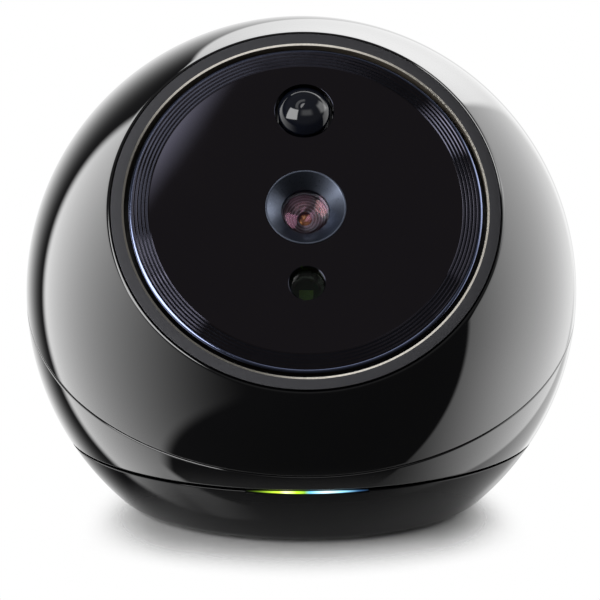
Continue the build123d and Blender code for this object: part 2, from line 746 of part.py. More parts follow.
save(gear_motor(turn_seat), "turn_motor")
turn_pinion_low = turn_deck_top + play
turn_pinion_top = head_deck_bottom - play
turn_pinion_middle = turn_plane.offset(turn_pinion_low).from_local_coords((0, gear_distance, 0))
turn_pinion_plane = Plane(origin=turn_pinion_middle, x_dir=(1, 0, 0), z_dir=turn_plane.z_dir)
save(involute_pinion(turn_pinion_plane, turn_pinion_top - turn_pinion_low, 90), "turn_pinion")
with BuildPart() as turn_shaft:
    shaft_low = turn_deck_bottom - motor_length / 2 + slip
    shaft_plane = turn_pinion_plane.offset(shaft_low - turn_pinion_low)
    extrude(ring(shaft_plane, shaft_radius), amount=turn_pinion_top - shaft_low)
save(turn_shaft, "turn_shaft")

with BuildPart() as motor_screws:
    shank_length = ear_thick + deck_thick - play
    add(screw_group(pan_seat.offset(ear_thick), ear_spots, -1, shank_length).part)
    add(screw_group(turn_seat.offset(ear_thick), ear_spots, -1, shank_length).part)
save(motor_screws, "motor_screws")

# Upper shell: the ball above the slanted cut, with the round opening for the face
head_face = turn_plane.offset(head_deck_top)
tab_face = face_plane.offset(tab_front)
with BuildPart() as upper_shell:
    extrude(wall_bosses(head_face, head_spots, ball_radius), amount=boss_length)
    extrude(ring(tab_face, boss_radius, spots=frame_spots), amount=face_distance - tab_front)
    with Locations(centre):
        Sphere(ball_radius - shell_wall / 2, mode=Mode.INTERSECT)
    revolve(ball_zone(turn_section, ball_radius, inner_radius, turn_gap / 2, ball_radius), axis=turn_axis)
    extrude(ring(tab_face, face_opening), amount=ball_radius, mode=Mode.SUBTRACT)
    pilots = ring(head_face, pilot_radius, spots=head_spots)
    extrude(pilots, amount=screw_length, mode=Mode.SUBTRACT)
    extrude(ring(tab_face, pilot_radius, spots=frame_spots), amount=screw_length - tab_thick, mode=Mode.SUBTRACT)
save(upper_shell, "upper_shell")

# Head deck: closes the head's underside
head_base = turn_plane.offset(head_deck_bottom)
with BuildPart() as head_deck:
    extrude(ring(head_base, head_deck_radius, hub_radius + slip / 2), amount=deck_thick)
    shanks = ring(head_base, screw_radius + slip, spots=head_spots + standoff_spots)
    extrude(shanks, amount=deck_thick, mode=Mode.SUBTRACT)
    extrude(ring(head_base, seat_radius, spots=head_spots), amount=screw_head_height, mode=Mode.SUBTRACT)
save(head_deck, "head_deck")
save(screw_group(head_base.offset(screw_head_height), head_spots, 1), "head_screws")

# Turn hub: a hollow spindle down from the head's deck, with a groove for its clip
with BuildPart() as turn_hub:
    hub_length = head_deck_top + flange_thick - hub_bottom
    extrude(ring(turn_plane.offset(hub_bottom), hub_radius, hub_bore), amount=hub_length)
    extrude(ring(head_face, hub_radius + flange_width, hub_bore), amount=flange_thick)
    groove = ring(turn_plane.offset(turn_clip_top + slip), hub_radius + slip, hub_radius - clip_depth)
    extrude(groove, amount=-clip_thick - 2 * slip, mode=Mode.SUBTRACT)
save(turn_hub, "turn_hub")
save(open_clip(turn_plane.offset(turn_clip_top - clip_thick), hub_radius), "turn_clip")

# Turn ring gear, fixed under the head's deck, with a tooth space at the motor
turn_ring_low = turn_deck_top + play
turn_ring = involute_ring(turn_plane.offset(turn_ring_low), head_deck_bottom - turn_ring_low, 90)
save(turn_ring, "turn_ring_gear")

# Face frame: a cup behind the face that carries the ring, the window, the lens and the boards
with BuildPart() as face_frame:
    extrude(ring(face_plane.offset(frame_rear), frame_radius, frame_radius - frame_wall), amount=frame_length)
    extrude(ring(face_plane.offset(frame_back), frame_radius), amount=frame_disc)
    tab_rear = face_plane.offset(frame_rear)
    extrude(ring(tab_rear, boss_radius, spots=frame_spots), amount=tab_thick)
    with BuildSketch(tab_rear):
        for x, y in frame_spots:
            inward = (frame_radius - frame_wall / 2) / sqrt(x**2 + y**2)
            with BuildLine() as tab_line:
                Line((x, y), (x * inward, y * inward))
            trace(tab_line.line, 2 * boss_radius)
    extrude(amount=tab_thick)
    extrude(ring(tab_rear, screw_radius + slip, spots=frame_spots), amount=tab_thick, mode=Mode.SUBTRACT)
    pillar_foot = face_plane.offset(image_board_front)
    extrude(ring(pillar_foot, pillar_radius, spots=pillar_spots), amount=frame_back - image_board_front)
    extrude(ring(pillar_foot, pilot_radius, spots=pillar_spots), amount=2 * stud_length, mode=Mode.SUBTRACT)
    stake_foot = face_plane.offset(front_board_front)
    extrude(ring(stake_foot, stake_radius, spots=stake_spots), amount=front_board_gap)
    extrude(ring(stake_foot, stake_pin, spots=stake_spots), amount=-board_thick - play)
    front = face_plane.offset(frame_front)
    extrude(ring(front, barrel_radius + play), amount=-frame_disc, mode=Mode.SUBTRACT)
    extrude(ring(front, pir_can_radius + play, spots=[(0, pir_up)]), amount=-frame_disc, mode=Mode.SUBTRACT)
    extrude(ring(front, light_chip, spots=[(0, -light_down)]), amount=-frame_disc, mode=Mode.SUBTRACT)
save(face_frame, "face_frame")
save(screw_group(face_plane.offset(frame_rear), frame_spots, 1, screw_length - play), "frame_screws")

# Face ring: flat satin ring round the face, with a polished bevel on its inner edge
ring_outer_edge = face_opening - 2 * slip
ring_inner_edge = face_opening - face_ring_width
with BuildPart() as face_ring:
    extrude(ring(front, ring_outer_edge, ring_inner_edge), amount=face_depth)
    front_edges = face_ring.edges().filter_by(GeomType.CIRCLE).group_by(face_axis)[-1]
    chamfer(front_edges.sort_by(SortBy.LENGTH)[0], ring_polish)
save(face_ring, "face_ring")

# Front window: crowned black disc with fine rings near its edge and three round holes
rim_radius = window_radius - window_bevel
ridges = []
for index in reversed(range(groove_count)):
    middle = groove_inner + index * groove_pitch
    outer_crest = middle + groove_width / 2
    inner_crest = middle - groove_width / 2
    ridges.append((outer_crest, window_surface(outer_crest)))
    ridges.append((middle, window_surface(middle) - groove_depth))
    ridges.append((inner_crest, window_surface(inner_crest)))
with BuildPart() as front_window:
    with BuildSketch(face_section):
        with BuildLine():
            Polyline(
                (0, window_surface(0)),
                (0, frame_front),
                (window_radius, frame_front),
                (window_radius, window_surface(rim_radius) - window_bevel),
                (rim_radius, window_surface(rim_radius)),
                *ridges,
            )
            half_way = ridges[-1][0] / 2
            ThreePointArc(ridges[-1], (half_way, window_surface(half_way)), (0, window_surface(0)))
        make_face()
    revolve(axis=face_axis)
    extrude(ring(front, cone_radius + slip / 2), amount=ball_radius, mode=Mode.SUBTRACT)
    extrude(ring(front, pir_hole, spots=[(0, pir_up)]), amount=ball_radius, mode=Mode.SUBTRACT)
    extrude(ring(front, light_hole, spots=[(0, -light_down)]), amount=ball_radius, mode=Mode.SUBTRACT)
save(front_window, "front_window")

# Lens cone: satin funnel in the window's middle, which covers the lens barrel's front
cone_top = window_surface(cone_radius) + cone_proud
with BuildPart() as lens_cone:
    corners = [
        (cone_radius, frame_front),
        (cone_radius, cone_top),
        (cone_radius - cone_lip, cone_top),
        (lens_mouth, cone_top - cone_depth),
        (lens_mouth, barrel_front),
        (barrel_radius + slip, barrel_front),
        (barrel_radius + slip, frame_front),
    ]
    revolve(outline(face_section, corners), axis=face_axis)
save(lens_cone, "lens_cone")

# Lens: a stepped barrel with a front glass, a spacer and a rear glass
barrel_step = barrel_front - barrel_head
holder_bottom = image_board_front
pocket_top = holder_bottom + holder_base
barrel_rear = pocket_top + slip
glass_radius = lens_mouth - slip / 2
glass_seat = barrel_front - glass_edge - slip
spacer_low = glass_seat - spacer_length
tube_bore = thread_radius - barrel_wall - holder_wall / 2
with BuildPart() as lens_barrel:
    corners = [
        (lens_mouth, spacer_low),
        (tube_bore, spacer_low),
        (tube_bore, barrel_rear),
        (thread_radius, barrel_rear),
        (thread_radius, barrel_step),
        (barrel_radius, barrel_step),
        (barrel_radius, barrel_front),
        (lens_mouth, barrel_front),
    ]
    revolve(outline(face_section, corners), axis=face_axis)
save(lens_barrel, "lens_barrel")

with BuildPart() as lens_front_glass:
    extrude(ring(face_plane.offset(glass_seat), glass_radius), amount=glass_edge)
    cap_radius = (glass_radius**2 + front_glass_crown**2) / (2 * front_glass_crown)
    cap_middle = glass_seat + glass_edge + front_glass_crown - cap_radius
    cap_low = glass_seat + glass_edge
    cap_high = cap_low + front_glass_crown
    revolve(ball_zone(face_section, cap_radius, 0, cap_low, cap_high, cap_middle), axis=face_axis)
save(lens_front_glass, "lens_front_glass")

with BuildPart() as lens_spacer:
    corners = [
        (glass_radius, spacer_low),
        (glass_radius, glass_seat),
        (glass_radius - cone_lip, glass_seat),
        (spacer_bore, spacer_low + cone_lip),
        (spacer_bore, spacer_low),
    ]
    revolve(outline(face_section, corners), axis=face_axis)
save(lens_spacer, "lens_spacer")

with BuildPart() as lens_rear_glass:
    rear_glass = ring(face_plane.offset(barrel_rear + rear_glass_inset), tube_bore - slip / 2)
    extrude(rear_glass, amount=rear_glass_thick)
save(lens_rear_glass, "lens_rear_glass")

# Lens holder on the image board, with the infrared filter in the pocket over the image sensor
with BuildPart() as lens_holder:
    holder_foot = face_plane.offset(holder_bottom)
    extrude(block(holder_foot, holder_size, holder_size), amount=holder_base)
    fillet(lens_holder.edges().filter_by(face_axis), holder_wall)
    tube_foot = face_plane.offset(pocket_top)
    tube = ring(tube_foot, thread_radius + holder_wall, thread_radius + running)
    extrude(tube, amount=holder_length - holder_base)
    extrude(block(holder_foot, sensor_pocket, sensor_pocket), amount=holder_base, mode=Mode.SUBTRACT)
save(lens_holder, "lens_holder")

with BuildPart() as infrared_filter:
    filter_plane = face_plane.offset(pocket_top - filter_thick)
    extrude(block(filter_plane, sensor_pocket - 2 * slip, sensor_pocket - 2 * slip), amount=filter_thick)
save(infrared_filter, "infrared_filter")

with BuildPart() as image_sensor:
    extrude(block(holder_foot, image_sensor_width, image_sensor_height), amount=image_sensor_thick)
save(image_sensor, "image_sensor")

# Boards in the head: the image board on the frame's pillars, and the main board on standoffs on the head's deck
image_back = face_plane.offset(image_board_back)
with BuildPart() as image_board:
    extrude(block(image_back, image_board_width, image_board_height), amount=board_thick)
    holes = ring(image_back, screw_radius + slip, spots=pillar_spots)
    extrude(holes, amount=board_thick, mode=Mode.SUBTRACT)
save(image_board, "image_board")

main_foot = head_face.offset(standoff_length)
main_top = main_foot.offset(board_thick)
with BuildPart() as board_standoffs:
    with BuildSketch(head_face):
        with Locations(*standoff_spots):
            RegularPolygon(standoff_radius, 6)
    extrude(amount=standoff_length)
    extrude(ring(head_face, screw_radius, spots=standoff_spots), amount=slip - deck_thick)
    extrude(ring(main_foot, pilot_radius, spots=standoff_spots), amount=-stud_length, mode=Mode.SUBTRACT)
save(board_standoffs, "board_standoffs")

with BuildPart() as main_board:
    extrude(block(main_foot, main_board_width, main_board_height, [(0, main_board_back)]), amount=board_thick)
    holes = ring(main_foot, screw_radius + slip, spots=standoff_spots)
    extrude(holes, amount=board_thick, mode=Mode.SUBTRACT)
save(main_board, "main_board")

shank_length = board_thick + stud_length - play
save(screw_group(image_back, pillar_spots, 1, shank_length), "image_board_screws")
save(screw_group(main_top, standoff_spots, -1, shank_length), "main_board_screws")

with BuildPart() as shield_can:
    shield_spot = [(0, main_board_back + shield_back)]
    extrude(block(main_top, shield_width, shield_height, shield_spot), amount=shield_thick)
    inside_width = shield_width - 2 * shield_wall
    inside_height = shield_height - 2 * shield_wall
    inside = block(main_top, inside_width, inside_height, shield_spot)
    extrude(inside, amount=shield_thick - shield_wall, mode=Mode.SUBTRACT)
save(shield_can, "shield_can")

# Front board, staked to the frame, with the motion sensor, the light sensor and the microphone
front_board_face = face_plane.offset(front_board_front)
with BuildPart() as front_board:
    board_shape = block(front_board_face, front_board_width, front_board_height, [(0, front_board_up)])
    extrude(board_shape, amount=-board_thick)
    extrude(ring(front_board_face, barrel_radius + play), amount=-board_thick, mode=Mode.SUBTRACT)
    pin_holes = ring(front_board_face, stake_pin + slip, spots=stake_spots)
    extrude(pin_holes, amount=-board_thick, mode=Mode.SUBTRACT)
save(front_board, "front_board")

with BuildPart() as pir_sensor:
    can_height = frame_front - front_board_front
    extrude(ring(front_board_face, pir_can_radius, spots=[(0, pir_up)]), amount=can_height)
save(pir_sensor, "pir_sensor")

pir_middle = window_surface(pir_up) - pir_sunk
pir_section = Plane(
    origin=face_plane.from_local_coords((0, pir_up, 0)),
    x_dir=(1, 0, 0),
    z_dir=-face_plane.y_dir,
)
pir_axis = Axis(pir_section.origin, face_plane.z_dir)
with BuildPart() as pir_dome:
    inside = pir_radius - pir_wall
    revolve(ball_zone(pir_section, pir_radius, inside, pir_middle, pir_middle + pir_radius, pir_middle), axis=pir_axis)
    extrude(ring(front, pir_radius, inside, [(0, pir_up)]), amount=pir_middle - frame_front)
    extrude(ring(front, pir_hole - slip, inside, [(0, pir_up)]), amount=pir_flange)
save(pir_dome, "pir_dome")

with BuildPart() as light_sensor:
    chip = block(front_board_face, light_chip, light_chip, [(0, -light_down)])
    extrude(chip, amount=light_chip_height)
save(light_sensor, "light_sensor")

with BuildPart() as light_window:
    light_top = window_surface(light_down) - light_sunk
    spot = [(0, -light_down)]
    extrude(ring(front, light_hole - slip, spots=spot), amount=light_top - frame_front)
    top_edge = light_window.edges().filter_by(GeomType.CIRCLE).group_by(face_axis)[-1]
    chamfer(top_edge, light_hole - slip - light_face)
save(light_window, "light_window")

with BuildPart() as microphone:
    extrude(ring(front_board_face, microphone_radius, spots=[microphone_spot]), amount=microphone_height)
save(microphone, "microphone")
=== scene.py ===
"""Studio picture of the ball security camera: its skin, finishes, light and camera, laid over its frame."""
import json

import bmesh
import bpy
import numpy as np
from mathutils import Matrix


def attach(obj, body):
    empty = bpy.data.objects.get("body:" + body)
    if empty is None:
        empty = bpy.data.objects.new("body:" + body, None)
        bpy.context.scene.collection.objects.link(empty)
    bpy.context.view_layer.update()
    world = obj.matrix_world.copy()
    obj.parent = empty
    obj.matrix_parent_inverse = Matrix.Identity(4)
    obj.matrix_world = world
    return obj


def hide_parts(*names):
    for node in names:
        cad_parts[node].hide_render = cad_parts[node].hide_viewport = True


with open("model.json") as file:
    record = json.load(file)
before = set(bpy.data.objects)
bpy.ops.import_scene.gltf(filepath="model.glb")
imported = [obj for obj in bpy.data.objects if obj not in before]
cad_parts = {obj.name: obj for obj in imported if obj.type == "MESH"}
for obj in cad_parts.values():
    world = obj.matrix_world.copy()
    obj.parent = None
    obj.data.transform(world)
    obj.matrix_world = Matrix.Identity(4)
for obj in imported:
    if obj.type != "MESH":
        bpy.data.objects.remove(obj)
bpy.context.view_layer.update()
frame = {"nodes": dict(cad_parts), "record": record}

# Sizes are in millimetres, as in the part, and angles in degrees, unless a comment says otherwise.
MM = 0.001

# The ball lies a hair inside the part's own 56, so that the skin stays within the part's box.
# Lean, in radians, is how far the slanted cut under the head tips forward; the face leans twice as much.
BALL = 55.98
INSIDE = 53.8
CENTRE = np.array([0.0, 0.0, 43.0])
LEAN = np.radians(27.5)
TURN_GAP = 0.25
EDGE = 0.28
LOWER_RIM = 14.1

# The base, with heights over the table.
BASE_RIM = 13.5
BASE_BOTTOM = 0.5
BASE_FILLET = 6.0
PLATE_HOLE = 32.99
PLATE_TOP = 2.5
DECK_BOTTOM = 8.4
DECK_TOP = 10.2
DECK_HOLE = 8.06

# The flat face and the frame behind it, as distances from the ball's centre along the face's axis.
FACE = 41.32
FACE_EDGE = 0.9
OPENING = np.sqrt(BALL ** 2 - FACE ** 2)
FRAME_FRONT = 37.62
BARREL_FRONT = 38.62

# The trim ring, with the slope that is cut along its inner edge.
RING_OUTER = 37.6
RING_INNER = 35.098
RING_SUNK = 0.1
RING_EDGE = 0.06
CUT_WIDTH = 0.4
CUT_SLOPE = 12

# The crowned window, its bevelled edge, its ridges, and the countersinks of its holes: rise over width.
WINDOW = 34.198
CROWN = 0.2
WINDOW_BEVEL = 0.55
BEVEL_START = 10
BEVEL_END = 50
GROOVES = 5
GROOVE_INNER = 30.26
GROOVE_PITCH = 0.69
GROOVE_WIDTH = 0.38
GROOVE_DEPTH = 0.1
CONE_HOLE = 7.85
HOLE_EDGE = 0.1
COUNTERSINK = 0.58

# The funnel round the lens.
CONE = 7.8
CONE_LIP = 0.3
CONE_PROUD = 0.15
CONE_DEPTH = 2.3
CONE_EDGE = 0.07
MOUTH = 4.67

# The lenses, each as its radius, its seat, the height of its edge and its crown.
# Then the stepped rings between them.
GLASS_SEAT = 37.32
FRONT_GLASS = (4.62, GLASS_SEAT, 38.52, 1.4)
SECOND_GLASS = (3.75, 36.4, 36.5, 0.7)
PUPIL_GLASS = (0.95, 35.0, 35.4, 0.4)
BAFFLES = 7
BAFFLE = 4.5
BAFFLE_GAP = 0.1
BAFFLE_LIP = 0.5
BAFFLE_DROP = 0.4
BAFFLE_BORE = 3.8
BAFFLE_TOP = 36.3
BAFFLE_BOTTOM = 35.8
BAFFLE_FLOOR = 0.2
PUPIL = 1.0

# The motion sensor's dome, above the lens on the face.
DOME_UP = 20.7
DOME = 5.1
DOME_SUNK = 0.3
DOME_CROWN = 2.5
DOME_FLANGE = 5.65
DOME_FLANGE_HEIGHT = 0.8
DOME_HOLE = 5.75

# The light sensor's pane, below the lens.
LIGHT_UP = -15.9
LIGHT_FACE = 2.9
LIGHT_RIM = 3.4
LIGHT_SLOPE = 0.4
LIGHT_HOLE = 3.5
LIGHT_SUNK = 1.4
LIGHT_CROWN = 0.06

# The loudspeaker grille behind, the power socket under it, and the notch of the light guide in front.
# A cutter runs past what it cuts by its overcut. Front is the turn of the front about the vertical.
GRILLE_HOLE = 0.75
GRILLE_PITCH = 3.4
GRILLE_WAY = np.array([0.0, 50.22, -13.5]) / 52.0
GRILLE_OVERCUT = 3.0
SOCKET_HOLE = (8.2, 3.1)
SOCKET_CORNER = 0.9
SOCKET_MIDDLE = 7.45
SOCKET_REACH = (30.0, 60.0)
NOTCH = 0.5
NOTCH_INNER = 37.38
NOTCH_SPARE = 0.1
LAMP_HALF_ANGLE = 14.5
FRONT = 270
OVERCUT = 1.0

# How fine the meshes are: steps round the ball, the window, the funnel, small pieces and pins,
# then steps along their sections.
ROUND = 320
WINDOW_ROUND = 360
FUNNEL_ROUND = 192
SMALL_ROUND = 128
PIN_ROUND = 96
OUTSIDE_STEPS = 90
INSIDE_STEPS = 30
BASE_STEPS = 40
FILLET_STEPS = 24
NOTCH_STEPS = 40
FLAT_STEPS = 60
WAVE_STEPS = 9
BEVEL_STEPS = 9
CAP_STEPS = 40
PANE_STEPS = 30
EDGE_STEPS = 6

# Edges sharper than a crease stay sharp. Points nearer than merge, in metres, are one point.
CREASE = 30
FINE_CREASE = 8
FUNNEL_CREASE = 24
MERGE = 1e-7

# A frame is three rows: across, up and out. The second one looks out of the face.
UPRIGHT = np.eye(3)
ACROSS = np.array([1.0, 0.0, 0.0])
OUT = np.array([0.0, -np.sin(2 * LEAN), np.cos(2 * LEAN)])
LOOKING = np.stack([ACROSS, np.cross(OUT, ACROSS), OUT])

# Where the camera looks: its turn and its dip, in radians, and the way that the flat face mirrors its view.
YAW = np.radians(1.4)
PITCH = np.radians(12.28)
AHEAD = np.array([np.sin(YAW) * np.cos(PITCH), np.cos(YAW) * np.cos(PITCH), -np.sin(PITCH)])
MIRRORED = AHEAD - 2 * (AHEAD @ OUT) * OUT


# How the surfaces are made.
def surface(name, points, rows=UPRIGHT, origin=(0.0, 0.0, 0.0), around=True, along=True, crease=CREASE):
    """Mesh through a grid of points given in a frame: lines run round it, columns along its profile.

    Around and along say which way the grid closes; points that fall together at a pole are merged.
    """
    lines, columns = points.shape[:2]
    i, j = np.meshgrid(np.arange(lines - (not around)), np.arange(columns - (not along)), indexing="ij")
    next_i = (i + 1) % lines
    next_j = (j + 1) % columns
    here, beside = i * columns, next_i * columns
    quads = np.stack([here + j, beside + j, beside + next_j, here + next_j], -1)
    places = (np.asarray(origin) + points @ rows) * MM
    mesh = bpy.data.meshes.new(name)
    mesh.from_pydata(places.reshape(-1, 3).tolist(), [], quads.reshape(-1, 4).tolist())
    work = bmesh.new()
    work.from_mesh(mesh)
    bmesh.ops.remove_doubles(work, verts=work.verts, dist=MERGE)
    bmesh.ops.holes_fill(work, edges=work.edges)
    bmesh.ops.recalc_face_normals(work, faces=work.faces)
    work.to_mesh(mesh)
    work.free()
    piece = bpy.data.objects.new(name, mesh)
    bpy.context.scene.collection.objects.link(piece)
    smooth(piece, crease)
    return piece


def smooth(piece, crease):
    """Shade a piece smooth, with edges sharper than the crease kept."""
    piece.data.shade_smooth()
    piece.data.set_sharp_from_angle(angle=np.radians(crease))


def turned(profile, steps=ROUND):
    """Grid of a profile of (radius, height) turned about the axis: radius cos u, radius sin u, height."""
    u = np.linspace(0, 2 * np.pi, steps, endpoint=False)[:, None]
    radius, height = profile.T
    return np.stack([radius * np.cos(u), radius * np.sin(u), height + 0 * u], -1)


def arc(centre, radius, start, end, steps):
    """Points of a circle about a centre on the section, from one angle to the other."""
    angle = np.radians(np.linspace(start, end, steps))
    return np.stack([centre[0] + radius * np.cos(angle), centre[1] + radius * np.sin(angle)], -1)


def cap(radius, edge, crown, steps=CAP_STEPS):
    """Points of a shallow ball over a circle: from its top on the axis down to the edge at that radius.

    The ball's own radius is (radius squared plus crown squared) over twice the crown.
    """
    curve = (radius ** 2 + crown ** 2) / (2 * crown)
    return arc((0, edge + crown - curve), curve, 90, 90 - np.degrees(np.arcsin(radius / curve)), steps)


def corner(before, at, after, size):
    """Points round a corner: a quadratic curve that leaves one side and joins the next at size from it."""
    before, at, after = np.array(before), np.array(at), np.array(after)
    first = at + (before - at) * size / np.linalg.norm(before - at)
    last = at + (after - at) * size / np.linalg.norm(after - at)
    t = np.linspace(0, 1, EDGE_STEPS)[:, None]
    return (1 - t) ** 2 * first + 2 * t * (1 - t) * at + t ** 2 * last


def polygon(corners, size):
    """Closed outline through the corners, each one rounded by size."""
    corners = np.array(corners)
    sizes = np.full(len(corners), size)
    before, after = np.roll(corners, 1, 0), np.roll(corners, -1, 0)
    return np.concatenate(list(map(corner, before, corners, after, sizes)))


def ball_points(radius, polar, turn):
    """Points of a ball from its radius, the angle from the axis and the turn round it, in radians."""
    radius, polar, turn = np.broadcast_arrays(radius, polar, turn)
    return np.stack([radius * np.sin(polar) * np.cos(turn), radius * np.sin(polar) * np.sin(turn),
                     radius * np.cos(polar)], -1)


def cut_angle(turn, side, radius, height):
    """Polar angle at which a ball of that radius stands at that height over the slanted cut.

    Seen along one turn, the cut's normal leans from the axis by an angle and is squeezed by a factor.
    The height is radius times squeeze times the cosine of (polar angle less lean).
    Side is 1 in the face's frame and -1 in the upright one.
    """
    lean = np.arctan2(side * np.sin(LEAN) * np.sin(turn), np.cos(LEAN))
    squeeze = np.sqrt(np.cos(LEAN) ** 2 + (np.sin(LEAN) * np.sin(turn)) ** 2)
    return lean + np.arccos(height / (radius * squeeze))


def cut(piece, cutter, crease=CREASE):
    """Take the cutter out of a piece for good."""
    change = piece.modifiers.new("holes", "BOOLEAN")
    change.operation = "DIFFERENCE"
    change.solver = "EXACT"
    change.object = cutter
    cleared = bpy.data.meshes.new_from_object(piece.evaluated_get(bpy.context.evaluated_depsgraph_get()))
    piece.modifiers.clear()
    piece.data = cleared
    bpy.data.objects.remove(cutter)
    smooth(piece, crease)


def crown_height(radius):
    """Height of the window's crowned front at a radius: a shallow ball through its middle and its edge."""
    curve = (WINDOW ** 2 + CROWN ** 2) / (2 * CROWN)
    return FACE + CROWN - curve + np.sqrt(curve ** 2 - radius ** 2)


def between(first, last, steps):
    """Even steps from one column of values to another, side by side."""
    share = np.linspace(0, 1, steps)
    return first + (last - first) * share


# The shells. Their lines are at even turns, and their edges at the slanted cut are quarters of a circle.
TURNS = np.linspace(0, 2 * np.pi, ROUND, endpoint=False)[:, None]
EVERY = 0 * TURNS
HALF_GAP = TURN_GAP / 2
QUARTER = np.linspace(0, np.pi / 2, EDGE_STEPS)


def head_shell():
    """Closed wall of the head: the ball from the face's opening to the slanted cut, back up its inside.

    Each line runs at one turn about the face's axis; only the angle at which it meets the cut changes.
    """
    reach = np.arcsin(OPENING / BALL) + FACE_EDGE / BALL
    on_ball = (BALL * np.sin(reach), BALL * np.cos(reach))
    rim = corner((OPENING, FACE - FACE_EDGE), (OPENING, FACE), on_ball, FACE_EDGE)
    rim_radius, rim_angle = np.hypot(*rim.T), np.arctan2(*rim.T)
    edge_radius = BALL - EDGE + EDGE * np.cos(QUARTER)
    edge_height = HALF_GAP + EDGE - EDGE * np.sin(QUARTER)
    edge_angle = cut_angle(TURNS, 1, edge_radius, edge_height)
    low = cut_angle(TURNS, 1, INSIDE, HALF_GAP)
    high = np.arcsin(OPENING / INSIDE)
    outer = between(rim_angle[-1] + EVERY, edge_angle[:, :1], OUTSIDE_STEPS)[:, 1:-1]
    inner = between(low, high + EVERY, INSIDE_STEPS)
    radius = np.concatenate([rim_radius + EVERY, BALL + 0 * outer, edge_radius + EVERY,
                             INSIDE + 0 * inner], 1)
    angle = np.concatenate([rim_angle + EVERY, outer, edge_angle, inner], 1)
    return surface("head_dome", ball_points(radius, angle, TURNS), LOOKING, CENTRE)


def waist_shell():
    """Closed wall of the lower shell: the ball from the slanted cut down to its rim, back up its inside."""
    edge_radius = BALL - EDGE + EDGE * np.sin(QUARTER)
    edge_height = -HALF_GAP - EDGE + EDGE * np.cos(QUARTER)
    edge_angle = cut_angle(TURNS, -1, edge_radius, edge_height)
    rim_height = LOWER_RIM - CENTRE[2]
    out = np.sqrt(BALL ** 2 - rim_height ** 2)
    inn = np.sqrt(INSIDE ** 2 - rim_height ** 2)
    above = (out - rim_height / BALL, rim_height + out / BALL)
    rim = corner(above, (out, rim_height), (inn, rim_height), EDGE)
    rim_radius, rim_angle = np.hypot(*rim.T), np.arctan2(*rim.T)
    high = cut_angle(TURNS, -1, INSIDE, -HALF_GAP)
    outer = between(edge_angle[:, -1:], rim_angle[0] + EVERY, OUTSIDE_STEPS)[:, 1:-1]
    inner = between(np.arctan2(inn, rim_height) + EVERY, high, INSIDE_STEPS)
    radius = np.concatenate([edge_radius + EVERY, BALL + 0 * outer, rim_radius + EVERY,
                             INSIDE + 0 * inner], 1)
    angle = np.concatenate([edge_angle, outer, rim_angle + EVERY, inner], 1)
    return surface("waist_bowl", ball_points(radius, angle, TURNS), UPRIGHT, CENTRE)


def base_shell():
    """Closed section of the base turned about the vertical: ball, round foot, plate's seat, inner deck."""
    rim = BASE_RIM - CENTRE[2]
    rim_out = np.sqrt(BALL ** 2 - rim ** 2)
    rim_in = np.sqrt(INSIDE ** 2 - rim ** 2)
    fillet_up = BASE_BOTTOM + BASE_FILLET - CENTRE[2]
    fillet_out = np.sqrt((BALL - BASE_FILLET) ** 2 - fillet_up ** 2)
    tangent = np.degrees(np.arctan2(fillet_up, fillet_out))
    start = np.degrees(np.arcsin((rim - EDGE) / BALL))
    deck = np.array([DECK_TOP, DECK_BOTTOM, PLATE_TOP]) - CENTRE[2]
    wall = np.sqrt(INSIDE ** 2 - deck ** 2)
    bottom = BASE_BOTTOM - CENTRE[2]
    section = np.concatenate([
        corner((rim_in, rim), (rim_out, rim), (rim_out + rim / BALL, rim - rim_out / BALL), EDGE),
        arc((0, 0), BALL, start, tangent, BASE_STEPS),
        arc((fillet_out, fillet_up), BASE_FILLET, tangent, -90, FILLET_STEPS)[1:],
        [(PLATE_HOLE, bottom), (PLATE_HOLE, deck[2]), (wall[2], deck[2])],
        [(wall[1], deck[1]), (DECK_HOLE, deck[1]), (DECK_HOLE, deck[0]), (wall[0], deck[0])],
        [(rim_in, rim)],
    ])
    return surface("base_dish", turned(section), UPRIGHT, CENTRE)


def pin(name, radius, low, high, rows=UPRIGHT, origin=(0.0, 0.0, 0.0), flare=0.0):
    """Round cutter between two heights, a profile turned about a frame's axis.

    Flare is how much wider the cutter is at the upper height, where a countersink has run half its way.
    """
    rise = COUNTERSINK * flare
    profile = np.array([(0, low), (radius, low), (radius, high - rise), (radius + 2 * flare, high + rise),
                        (0, high + rise)])
    return surface(name, turned(profile, PIN_ROUND), rows, origin, along=False)


def grille_pins():
    """Round cutters of the loudspeaker grille: one in the middle, six round it, twelve round those."""
    backward = np.stack([ACROSS, np.cross(GRILLE_WAY, ACROSS), GRILLE_WAY])
    six = np.linspace(0, 2 * np.pi, 6, endpoint=False)
    twelve = np.linspace(0, 2 * np.pi, 12, endpoint=False)
    x = np.concatenate([[0], GRILLE_PITCH * np.cos(six), 2 * GRILLE_PITCH * np.cos(twelve)])
    y = np.concatenate([[0], GRILLE_PITCH * np.sin(six), 2 * GRILLE_PITCH * np.sin(twelve)])
    spots = CENTRE + np.stack([x, y, 0 * x], -1) @ backward
    mesh = bpy.data.meshes.new("grille_pins")
    work = bmesh.new()
    for spot in spots:
        one = pin("grille_pin", GRILLE_HOLE, INSIDE - GRILLE_OVERCUT, BALL + GRILLE_OVERCUT, backward, spot)
        work.from_mesh(one.data)
        bpy.data.objects.remove(one)
    work.to_mesh(mesh)
    work.free()
    whole = bpy.data.objects.new("grille_pins", mesh)
    bpy.context.scene.collection.objects.link(whole)
    return whole


